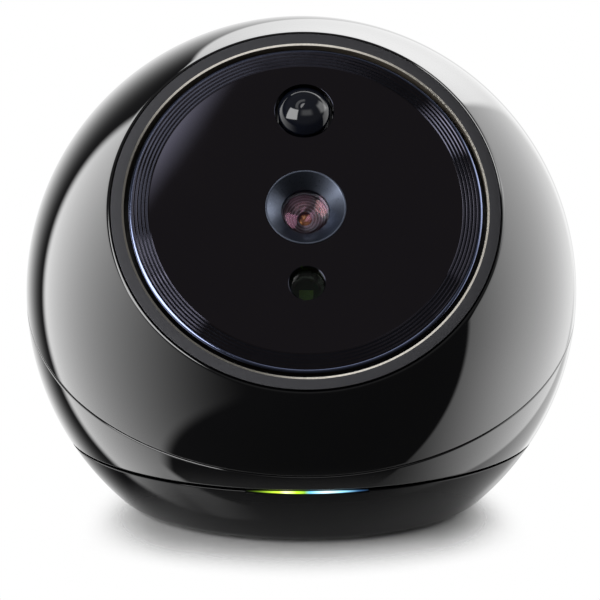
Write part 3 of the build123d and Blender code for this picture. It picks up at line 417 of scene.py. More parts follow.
def notch_cutter():
    """Cutter for the light guide's notch: an oblong of (radius, height) carried round the front."""
    low, high = BASE_RIM - NOTCH, BASE_RIM + OVERCUT
    radius, height = np.array([(NOTCH_INNER, low), (BALL, low), (BALL, high), (NOTCH_INNER, high)]).T
    half = LAMP_HALF_ANGLE + NOTCH_SPARE
    u = np.radians(np.linspace(FRONT - half, FRONT + half, NOTCH_STEPS))[:, None]
    grid = np.stack([radius * np.cos(u), radius * np.sin(u), height + 0 * u], -1)
    return surface("notch_cutter", grid, around=False)


def socket_cutter():
    """Cutter for the power socket: an oblong with round corners carried straight along the depth."""
    aside, up = SOCKET_HOLE[0] / 2, SOCKET_HOLE[1] / 2
    x, z = polygon([(-aside, -up), (aside, -up), (aside, up), (-aside, up)], SOCKET_CORNER).T
    depth = np.array(SOCKET_REACH)[:, None]
    grid = np.stack([x + 0 * depth, depth + 0 * x, SOCKET_MIDDLE + z + 0 * depth], -1)
    return surface("socket_cutter", grid, around=False)


# The face and what is in it, turned about the face's axis or one beside it.
def face_ring():
    """Flat ring in the face's mouth, a section turned about its axis, with a slope cut along the inside."""
    flat = FACE - RING_SUNK
    low = flat - CUT_WIDTH * np.tan(np.radians(CUT_SLOPE))
    edge = corner((RING_INNER, flat), (RING_OUTER, flat), (RING_OUTER, FRAME_FRONT), RING_EDGE)
    section = np.concatenate([
        [(RING_INNER, FRAME_FRONT), (RING_INNER, low), (RING_INNER + CUT_WIDTH, flat)],
        edge,
        [(RING_OUTER, FRAME_FRONT)],
    ])
    return surface("trim_ring", turned(section), LOOKING, CENTRE, crease=FINE_CREASE)


def face_window():
    """Crowned black front turned about the face's axis, with fine round ridges near its edge and two holes.

    Each groove sinks as one less the cosine over its width; the bevelled edge is an arc between two slopes.
    """
    wave = np.linspace(0, 1, WAVE_STEPS)
    ridge = (GROOVE_INNER + GROOVE_PITCH * np.arange(GROOVES)[:, None] + GROOVE_WIDTH * wave).ravel()
    sink = np.tile(GROOVE_DEPTH * (1 - np.cos(2 * np.pi * wave)) / 2, GROOVES)
    flat = np.linspace(CONE_HOLE, GROOVE_INNER, FLAT_STEPS)[:-1]
    radius = np.concatenate([flat, ridge])
    front = np.stack([radius, crown_height(radius) - np.concatenate([0 * flat, sink])], -1)
    curve = WINDOW_BEVEL / (np.sin(np.radians(BEVEL_END)) - np.sin(np.radians(BEVEL_START)))
    edge = arc((0, 0), curve, 90 - BEVEL_START, 90 - BEVEL_END, BEVEL_STEPS)
    edge = edge - edge[0] + (WINDOW - WINDOW_BEVEL, crown_height(WINDOW - WINDOW_BEVEL))
    back = [(WINDOW, FRAME_FRONT), (CONE_HOLE, FRAME_FRONT)]
    grid = turned(np.concatenate([front, edge, back]), WINDOW_ROUND)
    piece = surface("face_window", grid, LOOKING, CENTRE, crease=FINE_CREASE)
    for name, hole, up in (("dome_hole", DOME_HOLE, DOME_UP), ("light_hole", LIGHT_HOLE, LIGHT_UP)):
        spot = CENTRE + up * LOOKING[1]
        cutter = pin(name, hole, FRAME_FRONT - OVERCUT, crown_height(abs(up)), LOOKING, spot, HOLE_EDGE)
        cut(piece, cutter, FINE_CREASE)
    return piece


def sensor_dome():
    """Dome, a shallow ball over a short skirt and a flange, turned about its own axis on the face."""
    edge = crown_height(DOME_UP) - DOME_SUNK
    flange = FRAME_FRONT + DOME_FLANGE_HEIGHT
    section = np.concatenate([
        cap(DOME, edge, DOME_CROWN),
        [(DOME, flange), (DOME_FLANGE, flange), (DOME_FLANGE, FRAME_FRONT), (0, FRAME_FRONT)],
    ])
    spot = CENTRE + DOME_UP * LOOKING[1]
    return surface("motion_dome", turned(section, SMALL_ROUND), LOOKING, spot, along=False)


def lens_funnel():
    """Funnel round the lens turned about the face's axis: a lip, a slope in to the mouth, a short bore."""
    top = crown_height(CONE) + CONE_PROUD
    section = polygon([(CONE, BARREL_FRONT), (CONE, top), (CONE - CONE_LIP, top), (MOUTH, top - CONE_DEPTH),
                       (MOUTH, BARREL_FRONT)], CONE_EDGE)
    return surface("lens_funnel", turned(section, FUNNEL_ROUND), LOOKING, CENTRE, crease=FUNNEL_CREASE)


def lens(name, radius, seat, edge, crown):
    """Lens whose front is a shallow ball over a straight edge, turned about the face's axis."""
    section = np.concatenate([cap(radius, edge, crown), [(radius, seat), (0, seat)]])
    return surface(name, turned(section, SMALL_ROUND), LOOKING, CENTRE, along=False)


def light_pane():
    """Pane over the light sensor, a shallow ball with a sloped rim, turned about its own axis."""
    edge = crown_height(-LIGHT_UP) - LIGHT_SUNK - LIGHT_CROWN
    section = np.concatenate([
        cap(LIGHT_FACE, edge, LIGHT_CROWN, PANE_STEPS),
        [(LIGHT_RIM, edge - LIGHT_SLOPE), (LIGHT_RIM, FRAME_FRONT), (0, FRAME_FRONT)],
    ])
    spot = CENTRE + LIGHT_UP * LOOKING[1]
    return surface("light_pane", turned(section, PIN_ROUND), LOOKING, spot, along=False)


def baffle_rings():
    """Stepped funnel between the lenses, turned about the face's axis: even steps in and down."""
    high = GLASS_SEAT - BAFFLE_GAP
    floor = BAFFLE_BOTTOM - BAFFLE_FLOOR
    tread = np.repeat(np.linspace(BAFFLE_BORE, PUPIL, BAFFLES + 1), 2)[1:-1]
    level = np.repeat(np.linspace(BAFFLE_TOP, BAFFLE_BOTTOM, BAFFLES), 2)
    section = np.concatenate([
        [(BAFFLE, high), (BAFFLE - BAFFLE_LIP, high), (BAFFLE_BORE, high - BAFFLE_DROP)],
        np.stack([tread, level], -1),
        [(PUPIL, floor), (BAFFLE, floor)],
    ])
    return surface("baffle_rings", turned(section, SMALL_ROUND), LOOKING, CENTRE)


head_dome = head_shell()
waist_bowl = waist_shell()
base_dish = base_shell()
trim_ring = face_ring()
window = face_window()
dome = sensor_dome()
funnel = lens_funnel()
front_glass = lens("front_glass", *FRONT_GLASS)
pane = light_pane()
second_glass = lens("second_glass", *SECOND_GLASS)
pupil_glass = lens("pupil_glass", *PUPIL_GLASS)
baffles = baffle_rings()
cut(waist_bowl, grille_pins())
cut(base_dish, socket_cutter())
cut(base_dish, notch_cutter())


# The materials. A colour mix has its two colours at inputs 6 and 7 and its result at output 2.
# The mottle's noise mostly lies between low and high.
FIRST, SECOND, MIXED = 6, 7, 2
MOTTLE_LOW = 0.3
MOTTLE_HIGH = 0.7
MOTTLE_DETAIL = 3.0


def linear(code):
    """Linear colour of an sRGB hex code, opaque, by the standard's own curve."""
    share = np.array([int(code[k:k + 2], 16) for k in (1, 3, 5)]) / 255
    light = np.where(share <= 0.04045, share / 12.92, ((share + 0.055) / 1.055) ** 2.4)
    return (*light.tolist(), 1.0)


def add(tree, kind, inputs, **settings):
    """Add one node with its settings; each input takes a value or another node's output."""
    node = tree.nodes.new(kind)
    for name, value in settings.items():
        setattr(node, name, value)
    for name, value in inputs.items():
        if isinstance(value, bpy.types.NodeSocket):
            tree.links.new(value, node.inputs[name])
        else:
            node.inputs[name].default_value = value
    return node


def mottled(name, colour, tone, roughness, spread, grain, bump=0.0, **sockets):
    """Material with a mottle of one grain size in its colour, its roughness and its relief.

    Tone is the second colour and spread how far the roughness wanders. Grain and bump are the mottle's size
    and depth in millimetres. The other values go straight to the shader's sockets.
    """
    made = bpy.data.materials.new(name)
    made.use_nodes = True
    tree = made.node_tree
    shader = tree.nodes["Principled BSDF"]
    place = add(tree, "ShaderNodeTexCoord", {})
    mottle = add(tree, "ShaderNodeTexNoise", {"Vector": place.outputs["Object"], "Scale": 1 / (grain * MM),
                                              "Detail": MOTTLE_DETAIL})
    mixed = add(tree, "ShaderNodeMix", {"Factor": mottle.outputs["Fac"], FIRST: linear(colour),
                                        SECOND: linear(tone)}, data_type="RGBA")
    rough = add(tree, "ShaderNodeMapRange", {"Value": mottle.outputs["Fac"],
                                             "From Min": MOTTLE_LOW, "From Max": MOTTLE_HIGH,
                                             "To Min": roughness - spread, "To Max": roughness + spread})
    tree.links.new(mixed.outputs[MIXED], shader.inputs["Base Color"])
    tree.links.new(rough.outputs["Result"], shader.inputs["Roughness"])
    if bump:
        relief = add(tree, "ShaderNodeBump", {"Height": mottle.outputs["Fac"], "Distance": bump * MM})
        tree.links.new(relief.outputs["Normal"], shader.inputs["Normal"])
    for socket, value in sockets.items():
        shader.inputs[socket.replace("_", " ")].default_value = value
    return made


# Black ABS moulded in a polished tool and lacquered: nearly a mirror, with a moulded skin's faint ripple.
gloss_black = mottled(
    "moulded_abs_lacquered", "#0a0a0b", "#0c0c0e", roughness=0.035, spread=0.012, grain=9.0, bump=0.004,
    IOR=1.5, Coat_Weight=1.0, Coat_Roughness=0.02, Coat_IOR=1.5,
)
# The same ABS as it leaves the tool, without the lacquer, on the base: a dimmer mirror.
plain_black = mottled(
    "moulded_abs_polished", "#08080a", "#0a0a0c", roughness=0.05, spread=0.015, grain=9.0, bump=0.004,
    IOR=1.38,
)
# Black acrylic, printed black behind, hard coated in front: deep black, with the coat's lavender gleam.
black_acrylic = mottled(
    "acrylic_back_printed", "#0b0705", "#0d0906", roughness=0.02, spread=0.01, grain=14.0, IOR=1.7,
    Specular_Tint=linear("#dcdafa"),
)
# The same acrylic where its edge is bevelled, polished and silvered behind: a pale blue mirror line.
acrylic_edge = mottled(
    "acrylic_edge_silvered", "#6c7490", "#7a829f", roughness=0.12, spread=0.05, grain=1.5, Metallic=1.0,
)
# The same acrylic between the grooves and round the holes, half silvered behind: thin grey lines.
acrylic_ridge = mottled(
    "acrylic_ridge_half_silvered", "#353640", "#303139", roughness=0.1, spread=0.03, grain=6.0,
    Metallic=1.0,
)
# Black polyethylene of the motion sensor's dome, pressed in a polished tool: blue-black, softly shining.
black_poly = mottled(
    "pressed_polyethylene", "#0b0d15", "#0f121c", roughness=0.05, spread=0.02, grain=3.0, bump=0.001,
    IOR=1.6,
)
# Black ABS from a spark eroded tool: a fine even matt grain.
matt_black = mottled(
    "moulded_abs_matt", "#141416", "#1a1a1c", roughness=0.55, spread=0.08, grain=0.35, bump=0.03,
    IOR=1.5,
)
# Black rubber, pressed: dull and slightly dusty.
rubber = mottled(
    "pressed_rubber", "#17171a", "#202022", roughness=0.75, spread=0.1, grain=0.6, bump=0.02, IOR=1.5,
)
# Natural nylon of the gears and bushes, moulded: a waxy cream.
nylon = mottled(
    "moulded_nylon", "#d9d4c4", "#e2ddcf", roughness=0.42, spread=0.08, grain=1.2, bump=0.01, IOR=1.53,
)
# Steel of screws, shafts, cans and clips, zinc plated: bright, with a faintly clouded surface.
steel = mottled(
    "zinc_plated_steel", "#b9bcc0", "#a7abb1", roughness=0.3, spread=0.1, grain=0.8, bump=0.004,
    Metallic=1.0,
)
# Brass of inserts and standoffs, turned: a soft yellow shine.
brass = mottled(
    "turned_brass", "#c9a559", "#b8934a", roughness=0.28, spread=0.1, grain=0.7, bump=0.003,
    Metallic=1.0,
)
# Aluminium, bead blasted and dyed dark grey in the bath: a fine even sparkle without clear reflections.
blasted_grey = mottled(
    "blasted_anodised_grey", "#515154", "#49494c", roughness=0.4, spread=0.06, grain=0.12, bump=0.006,
    Metallic=1.0,
)
# The same aluminium where a diamond tool has cut the dye away: a bright warm line.
cut_bright = mottled(
    "diamond_cut_aluminium", "#e9e4da", "#d6d0c6", roughness=0.16, spread=0.05, grain=0.4, Metallic=1.0,
)
# The same aluminium on the ring's inner wall, rough from the tool: its pale brown-grey is a painted
# reflection, standing for the light that the dark wall reflects, and it is lit as a matt surface.
wall_painted_reflection = mottled(
    "turned_aluminium_painted_reflection", "#6a6256", "#585146", roughness=0.7, spread=0.1, grain=0.3,
    bump=0.01, IOR=1.45,
)
# Aluminium turned and dyed blue-grey: satin, with broad soft glints round the funnel.
satin_blue = mottled(
    "turned_anodised_blue_grey", "#5e6472", "#535966", roughness=0.32, spread=0.06, grain=0.2,
    bump=0.004, Metallic=1.0,
)
# Green solder mask over copper on glass-fibre board: half gloss, slightly cloudy.
board_green = mottled(
    "solder_mask_on_fibreglass", "#1d4a2c", "#245a36", roughness=0.35, spread=0.1, grain=2.5, bump=0.01,
    IOR=1.55,
)
# Clear acrylic, moulded: colourless, with soft edges to its reflections.
clear = mottled(
    "moulded_clear_acrylic", "#f2f5f5", "#ffffff", roughness=0.08, spread=0.03, grain=3.0, IOR=1.49,
    Transmission_Weight=1.0,
)
# Lens glass, ground and coated against glare: clear, with rose reflections from the film.
lens_glass = mottled(
    "ground_coated_glass", "#f4f2ff", "#ffffff", roughness=0.004, spread=0.003, grain=6.0, IOR=1.52,
    Transmission_Weight=1.0, Specular_Tint=linear("#c58aa8"),
)
# Inner lens, ground and coated: its film gives a warmer rose.
rose_glass = mottled(
    "ground_rose_coated_glass", "#f6ecec", "#ffffff", roughness=0.01, spread=0.005, grain=4.0, IOR=1.55,
    Transmission_Weight=1.0, Specular_Tint=linear("#e08a86"),
)
# Innermost lens, ground and coated, drawn opaque: its amber brown is the glass's amber tint with painted
# shade for the dark inside of the lens behind it.
amber_glass = mottled(
    "ground_amber_coated_glass", "#5a2c0a", "#7a3f10", roughness=0.06, spread=0.03, grain=0.6, IOR=2.0,
    Specular_Tint=linear("#ffb45a"),
)
# Clear pane over the light sensor, pressed glass: clear, with a slight green cast.
pressed_glass = mottled(
    "pressed_green_glass", "#9aa89a", "#a5b3a5", roughness=0.02, spread=0.01, grain=5.0, IOR=1.45,
    Transmission_Weight=1.0,
)
# Green epoxy cast round the light sensor's chip: yellow-green, half gloss.
green_epoxy = mottled(
    "cast_green_epoxy", "#b4d860", "#8fb848", roughness=0.3, spread=0.1, grain=0.8, bump=0.01, IOR=1.55,
)

# The rings moulded into the baffles are finer than this pitch, and are drawn so far apart so that they show.
# Their tone is painted light: pale bands are painted highlights on the rings, dark bands painted shade
# between them.
# Their wave runs from -1 to 1: it is painted shade up to the one limit and painted highlight from the other.
RING_PITCH = 0.5
RING_PAINTED_SHADE = -0.4
RING_PAINTED_HIGHLIGHT = 0.7

# Where the light guide glows: from left to right, from low to high, how strongly, from which part of the way
# out to its edge it is gone and up to which it is full, and its colours along the way.
GLOW_SPAN = (-12.5, 13.5)
GLOW_HEIGHTS = (13.12, 13.78)
GLOW = 1.9
GLOW_GONE = 1.0
GLOW_FULL = 0.2
GLOW_STOPS = ((0.0, "#1c2c08"), (0.12, "#6f9420"), (0.27, "#c8f040"), (0.32, "#f6ffc0"), (0.4, "#b8ea28"),
              (0.46, "#7fae3a"), (0.5, "#62b4d2"), (0.62, "#d4f6ff"), (0.74, "#8fd0ea"), (0.86, "#3a6490"),
              (1.0, "#061430"))


def panel(tree, strength, *edges):
    """Strength with soft edges: each edge is a value and the limits between which it comes up from none."""
    for value, dark, bright in edges:
        edge = add(tree, "ShaderNodeMapRange", {"Value": value, "From Min": dark, "From Max": bright},
                   interpolation_type="SMOOTHSTEP")
        lit = add(tree, "ShaderNodeMath", {0: edge.outputs[0], 1: strength}, operation="MULTIPLY")
        strength = lit.outputs[0]
    return strength


def baffle_painted_ring_shading():
    """Black polycarbonate of the lens baffles, moulded with fine rings: its tone goes outward in waves,
    pale bands of painted highlight and dark bands of painted shade that stand for the rings' relief.

    The distance from the axis is the length of the cross product of the place and the axis.
    """
    # The pale tone is the rings' painted highlight and the dark tone their painted shade.
    dark, pale = "#1c1c20", "#5c5c64"
    made = mottled("moulded_polycarbonate_painted_ring_shading", dark, "#242428", roughness=0.35, spread=0.08, grain=0.5,
                   bump=0.003, IOR=1.58)
    tree = made.node_tree
    place = add(tree, "ShaderNodeTexCoord", {})
    spot = add(tree, "ShaderNodeVectorMath", {0: place.outputs["Object"], 1: CENTRE * MM},
               operation="SUBTRACT")
    side = add(tree, "ShaderNodeVectorMath", {0: spot.outputs[0], 1: OUT}, operation="CROSS_PRODUCT")
    reach = add(tree, "ShaderNodeVectorMath", {0: side.outputs[0]}, operation="LENGTH")
    phase = add(tree, "ShaderNodeMath", {0: reach.outputs["Value"], 1: 2 * np.pi / (RING_PITCH * MM)},
                operation="MULTIPLY")
    wave = add(tree, "ShaderNodeMath", {0: phase.outputs[0]}, operation="SINE")
    share = add(tree, "ShaderNodeMapRange", {"Value": wave.outputs[0], "From Min": RING_PAINTED_SHADE,
                                             "From Max": RING_PAINTED_HIGHLIGHT})
    tone = add(tree, "ShaderNodeMix", {"Factor": share.outputs[0], FIRST: linear(dark),
                                       SECOND: linear(pale)}, data_type="RGBA")
    tree.links.new(tone.outputs[MIXED], tree.nodes["Principled BSDF"].inputs["Base Color"])
    return made


def glow_guide():
    """Smoked acrylic lit from behind by two lamps: yellow-green left, blue-white right, fading to points.

    The glow is strongest along the middle of the lip and narrows towards both ends like a thin lens.
    It fades with the square of the way along plus the square of the way across.
    """
    made = mottled("lit_smoked_acrylic", "#0a0a0b", "#0c0d0e", roughness=0.12, spread=0.03, grain=2.0,
                   IOR=1.49)
    tree = made.node_tree
    shader = tree.nodes["Principled BSDF"]
    place = add(tree, "ShaderNodeTexCoord", {})
    axes = add(tree, "ShaderNodeSeparateXYZ", {"Vector": place.outputs["Object"]})
    along = add(tree, "ShaderNodeMapRange", {"Value": axes.outputs["X"], "From Min": GLOW_SPAN[0] * MM,
                                             "From Max": GLOW_SPAN[1] * MM}).outputs[0]
    ramp = add(tree, "ShaderNodeValToRGB", {"Fac": along})
    while len(ramp.color_ramp.elements) < len(GLOW_STOPS):
        ramp.color_ramp.elements.new(1.0)
    for stop, (spot, colour) in zip(ramp.color_ramp.elements, GLOW_STOPS):
        stop.position = spot
        stop.color = linear(colour)
    sideways = add(tree, "ShaderNodeMapRange", {"Value": along, "To Min": -1.0, "To Max": 1.0}).outputs[0]
    across = add(tree, "ShaderNodeMapRange", {"Value": axes.outputs["Z"], "From Min": GLOW_HEIGHTS[0] * MM,
                                              "From Max": GLOW_HEIGHTS[1] * MM,
                                              "To Min": -1.0, "To Max": 1.0}).outputs[0]
    squared = add(tree, "ShaderNodeMath", {0: sideways, 1: sideways}, operation="MULTIPLY").outputs[0]
    spread = add(tree, "ShaderNodeMath", {0: across, 1: across, 2: squared}, operation="MULTIPLY_ADD")
    tree.links.new(ramp.outputs["Color"], shader.inputs["Emission Color"])
    tree.links.new(panel(tree, GLOW, (spread.outputs[0], GLOW_GONE, GLOW_FULL)),
                   shader.inputs["Emission Strength"])
    return made


baffle_black = baffle_painted_ring_shading()
lit_guide = glow_guide()


# Each piece gets its materials and stands for a node of the frame.
def dress(piece, node, body, slot, *materials):
    """Give a piece its materials and let it stand for a node of the frame."""
    for one in materials:
        piece.data.materials.append(one)
    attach(piece, body)
    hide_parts(node)


dress(head_dome, "upper_shell", "head", "gloss_black_plastic", gloss_black)
dress(waist_bowl, "lower_shell", "lower", "gloss_black_plastic", gloss_black)
dress(base_dish, "base_shell", "base", "gloss_black_plastic", plain_black)
dress(trim_ring, "face_ring", "head", "anodised_grey", blasted_grey, cut_bright, wall_painted_reflection)
dress(window, "front_window", "head", "gloss_black_plastic", black_acrylic, acrylic_edge, acrylic_ridge)
dress(dome, "pir_dome", "head", "gloss_black_plastic", black_poly)
dress(funnel, "lens_cone", "head", "anodised_blue_grey", satin_blue)
dress(front_glass, "lens_front_glass", "head", "coated_glass", lens_glass)
dress(pane, "light_window", "head", "coated_glass", pressed_glass)
dress(baffles, "lens_spacer", "head", "black_plastic", baffle_black)
for piece, coated in ((second_glass, rose_glass), (pupil_glass, amber_glass)):
    piece.data.materials.append(coated)
    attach(piece, "head")

# Which faces get a finish of their own, by the cosine of their slope to the face's axis: from, to.
CUT_FACES = (0.9, 0.995)
WALL_FACES = (-0.1, 0.1)
BEVEL_FACES = (0.3, 0.999)
CREST_FACES = (0.998, 1.1)
SUNK_FACES = (0.8, 0.95)
WALL_SPARE = 0.1


def finish_band(piece, finish, slopes, inner, outer):
    """Give a finish, by its number, to faces whose slope and distance from the axis lie in limits."""
    count = len(piece.data.polygons)
    normal, middle, index = np.empty(3 * count), np.empty(3 * count), np.empty(count, np.int32)
    piece.data.polygons.foreach_get("normal", normal)
    piece.data.polygons.foreach_get("center", middle)
    piece.data.polygons.foreach_get("material_index", index)
    slope = normal.reshape(-1, 3) @ OUT
    spot = middle.reshape(-1, 3) / MM - CENTRE
    reach = np.linalg.norm(spot - (spot @ OUT)[:, None] * OUT, axis=1)
    chosen = (slope > slopes[0]) & (slope < slopes[1]) & (reach > inner) & (reach < outer)
    piece.data.polygons.foreach_set("material_index", np.where(chosen, finish, index).astype(np.int32))


finish_band(trim_ring, 1, CUT_FACES, RING_INNER, RING_INNER + CUT_WIDTH)
# The ring's inner wall gets the finish with the painted reflection.
finish_band(trim_ring, 2, WALL_FACES, RING_INNER - WALL_SPARE, RING_INNER + WALL_SPARE)
finish_band(window, 1, BEVEL_FACES, WINDOW - WINDOW_BEVEL, WINDOW)
finish_band(window, 2, CREST_FACES, GROOVE_INNER, WINDOW - WINDOW_BEVEL)
finish_band(window, 2, SUNK_FACES, -LIGHT_UP - 2 * LIGHT_HOLE, DOME_UP + 2 * DOME_HOLE)

# The nodes of the frame that stay get a finish by their slot, or by their own name.
by_slot = {
    "gloss_black_plastic": gloss_black,
    "black_plastic": matt_black,
    "natural_nylon": nylon,
    "steel": steel,
    "brass": brass,
    "black_rubber": rubber,
    "anodised_grey": blasted_grey,
    "anodised_blue_grey": satin_blue,
    "circuit_board": board_green,
    "clear_acrylic": clear,
    "coated_glass": lens_glass,
}
by_name = {"light_guide": lit_guide, "light_sensor": green_epoxy}
slots = {part["node"]: part["material_slot"] for part in frame["record"]["subparts"]}
for name, thing in frame["nodes"].items():
    thing.data.materials.clear()
    thing.data.materials.append(by_name.get(name, by_slot[slots[name]]))

# The studio: how far the sloped sides of the panels lean, and the dim light of the room itself.
LOW_LEAN = -0.3
HIGH_LEAN = -0.8
GLARE_LEAN = -1.319
ROOM = 0.025

# The table, and where it melts into the white: at the sides, in front and behind, from gone to whole.
# The front and rear limits bow with the square of the way aside, by so much a metre.
TABLE = 70
TABLE_THICK = 0.5
TABLE_STEPS = 12
TABLE_GRAIN = 2.5
FADE_ASIDE = (45.5, 25)
FADE_FRONT = (-60, -26)
FADE_REAR = (56, 20)
FRONT_BOW = -10.0
REAR_BOW = 30.0

# The camera: its place left of, under and far before the ball's centre, in radii of the ball.
# The focal length of its long lens is given in pixels of a square picture.
EYE_LEFT = 0.0051
EYE_LOW = 0.0336
EYE_FAR = 12.0
FOCAL_PIXELS = 3287
PICTURE = 600
SENSOR = 36.0
NEAREST = 0.01


def studio_world():
    """White behind the object; round it a dark room with soft panels left, right, high behind and in front.

    The panels are laid out by direction, in degrees: bearing is the turn from the front, behind the turn
    from the back, rise the height over the horizon. Facing is how near a direction is to the way that the
    flat face mirrors the view: there the room is kept dim, so that the face stays black.
    """
    world = bpy.data.worlds.new("studio")
    bpy.context.scene.world = world
    world.use_nodes = True
    tree = world.node_tree
    way = add(tree, "ShaderNodeTexCoord", {}).outputs["Generated"]
    x, y, z = add(tree, "ShaderNodeSeparateXYZ", {"Vector": way}).outputs
    forward = add(tree, "ShaderNodeMath", {0: y, 1: -1.0}, operation="MULTIPLY").outputs[0]
    from_front = add(tree, "ShaderNodeMath", {0: x, 1: forward}, operation="ARCTAN2").outputs[0]
    from_back = add(tree, "ShaderNodeMath", {0: x, 1: y}, operation="ARCTAN2").outputs[0]
    lifted = add(tree, "ShaderNodeMath", {0: z}, operation="ARCSINE").outputs[0]
    bearing, behind, rise = (add(tree, "ShaderNodeMath", {0: angle}, operation="DEGREES").outputs[0]
                             for angle in (from_front, from_back, lifted))
    facing = add(tree, "ShaderNodeVectorMath", {0: way, 1: MIRRORED},
                 operation="DOT_PRODUCT").outputs["Value"]
    low_side = add(tree, "ShaderNodeMath", {0: bearing, 1: LOW_LEAN, 2: rise},
                   operation="MULTIPLY_ADD").outputs[0]
    back_side = add(tree, "ShaderNodeMath", {0: rise, 1: behind}, operation="ADD").outputs[0]
    high_side = add(tree, "ShaderNodeMath", {0: rise, 1: HIGH_LEAN, 2: behind},
                    operation="MULTIPLY_ADD").outputs[0]
    glare_side = add(tree, "ShaderNodeMath", {0: z, 1: GLARE_LEAN, 2: x},
                     operation="MULTIPLY_ADD").outputs[0]

    # The wide panel at the left, dimmer to the front and low down, and its low end.
    left = panel(tree, 2.85, (bearing, -138.5, -132), (bearing, -22, -122), (rise, -66, -56),
                 (rise, 60, 50), (rise, -120, 25), (low_side, -27, -21), (facing, 0.3, 0.2))
    low_left = panel(tree, 1.3, (bearing, -138.5, -132), (bearing, -97, -103), (low_side, -21, -27),
                     (rise, -80, -66))
    # The wide panel at the right, brightest in its middle, and its low end.
    right = panel(tree, 1.95, (behind, 110.5, 108), (behind, 145, 75), (behind, -35, 75),
                  (back_side, 10, 12.5), (rise, -74, -18), (rise, 62, 56), (facing, 0.45, 0.33))
    low_right = panel(tree, 0.75, (behind, 12, 18), (back_side, 12.5, 10), (rise, -74, -18), (rise, 0, -6))
    # The panel high behind, which lights the top of the ball.
    high = panel(tree, 2.7, (back_side, 10, 12.5), (high_side, 18, 15), (rise, -2, 50), (rise, 68, 60),
                 (facing, 0.4, 0.27))
    # The window-shaped highlight on the dome, and the light on the funnel's right.
    bright = panel(tree, 5.6, (bearing, -70, -66), (bearing, -24, -28), (rise, 8, 11), (rise, 45, 42),
                   (facing, 0.3, 0.34))
    aside = panel(tree, 2.0, (bearing, 62, 78), (bearing, 114, 104), (rise, 20, 28), (rise, 54, 44))
    # What the ring's cut slope shows: a strip overhead for its lower right, a card in front for its top.
    strip = panel(tree, 1.0, (facing, 0.865, 0.885), (facing, 0.95, 0.93), (rise, 42, 54), (x, 0.1, 0.0))
    card = panel(tree, 0.8, (bearing, -20, 0), (bearing, 42, 22), (rise, 20, 31), (rise, 49, 39))
    # The glare on the window's upper left, and a little fill for all of it.
    glare = panel(tree, 3.4, (glare_side, -1.172, -1.2), (facing, 0.97, 0.985))
    fill = panel(tree, 0.085, (facing, 0.3, 0.6))
    backdrop = panel(tree, 0.6, (behind, -42, -10), (behind, 26, 12), (rise, 34, 0), (rise, -50, -16))

    lights = (left, low_left, right, low_right, high, bright, aside, strip, glare, card, fill, backdrop)
    room = ROOM
    for light in lights:
        room = add(tree, "ShaderNodeMath", {0: light, 1: room}, operation="ADD").outputs[0]
    path = add(tree, "ShaderNodeLightPath", {})
    mirrored = add(tree, "ShaderNodeMath", {0: path.outputs["Is Glossy Ray"],
                                            1: path.outputs["Is Transmission Ray"]},
                   operation="ADD").outputs[0]
    shown = add(tree, "ShaderNodeMath", {0: mirrored, 1: backdrop, 2: path.outputs["Is Camera Ray"]},
                operation="MULTIPLY_ADD").outputs[0]
    white = add(tree, "ShaderNodeBackground", {"Color": linear("#ffffff"), "Strength": 1.0})
    lit = add(tree, "ShaderNodeBackground", {"Color": linear("#ffffff"), "Strength": room})
    seen = add(tree, "ShaderNodeMixShader", {0: shown, 1: lit.outputs[0], 2: white.outputs[0]})
    tree.links.new(seen.outputs[0], tree.nodes["World Output"].inputs["Surface"])


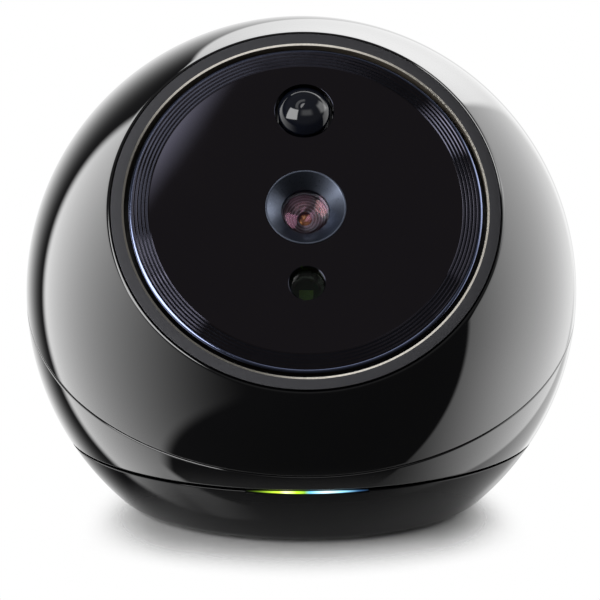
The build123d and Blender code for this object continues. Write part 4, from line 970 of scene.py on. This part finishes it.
def table_top():
    """Pale round table top, a flat section turned about the vertical, that melts into the white round it.

    Laminate, pressed with a fine grain: nearly even to the eye. It grows fainter to both sides, to the
    front and to the rear, so that the object's shadow stays and the table's edge doesn't show.
    """
    radius = np.linspace(0, TABLE, TABLE_STEPS)
    profile = np.stack([np.concatenate([radius, radius[::-1]]),
                        np.concatenate([0 * radius, 0 * radius - TABLE_THICK])], -1)
    disc = surface("table", turned(profile, SMALL_ROUND), along=False)
    made = bpy.data.materials.new("pale_laminate")
    made.use_nodes = True
    tree = made.node_tree
    tree.nodes.remove(tree.nodes["Principled BSDF"])
    place = add(tree, "ShaderNodeTexCoord", {})
    grain = add(tree, "ShaderNodeTexNoise", {"Vector": place.outputs["Object"],
                                             "Scale": 1 / (TABLE_GRAIN * MM)})
    tone = add(tree, "ShaderNodeMix", {"Factor": grain.outputs["Fac"], FIRST: linear("#cecece"),
                                       SECOND: linear("#d2d2d2")}, data_type="RGBA")
    lit = add(tree, "ShaderNodeBsdfDiffuse", {"Color": tone.outputs[MIXED]})
    gone = add(tree, "ShaderNodeBsdfTransparent", {})
    x, y, _ = add(tree, "ShaderNodeSeparateXYZ", {"Vector": place.outputs["Object"]}).outputs
    aside = add(tree, "ShaderNodeMath", {0: x}, operation="ABSOLUTE").outputs[0]
    squared = add(tree, "ShaderNodeMath", {0: x, 1: x}, operation="MULTIPLY").outputs[0]
    front = add(tree, "ShaderNodeMath", {0: squared, 1: FRONT_BOW, 2: y},
                operation="MULTIPLY_ADD").outputs[0]
    rear = add(tree, "ShaderNodeMath", {0: squared, 1: REAR_BOW, 2: y},
               operation="MULTIPLY_ADD").outputs[0]
    fades = ((aside, FADE_ASIDE), (front, FADE_FRONT), (rear, FADE_REAR))
    whole = panel(tree, 1.0, *((value, dark * MM, bright * MM) for value, (dark, bright) in fades))
    mixed = add(tree, "ShaderNodeMixShader", {0: whole, 1: gone.outputs[0], 2: lit.outputs[0]})
    tree.links.new(mixed.outputs[0], tree.nodes["Material Output"].inputs["Surface"])
    disc.data.materials.append(made)


def camera():
    """Camera a little left of the front and a little above, far off with a long lens."""
    across = np.array([np.cos(YAW), -np.sin(YAW), 0.0])
    up = np.cross(across, AHEAD)
    place = (CENTRE - BALL * (EYE_LEFT * across + EYE_LOW * up + EYE_FAR * AHEAD)) * MM
    optics = bpy.data.cameras.new("camera")
    optics.sensor_width = SENSOR
    optics.lens = SENSOR * FOCAL_PIXELS / PICTURE
    optics.clip_start = NEAREST
    eye = bpy.data.objects.new("camera", optics)
    matrix = np.eye(4)
    matrix[:3, :4] = np.stack([across, up, -AHEAD, place], -1)
    eye.matrix_world = matrix.T.tolist()
    bpy.context.scene.collection.objects.link(eye)
    bpy.context.scene.camera = eye


studio_world()
table_top()
camera()
bpy.context.scene.view_settings.view_transform = "Standard"
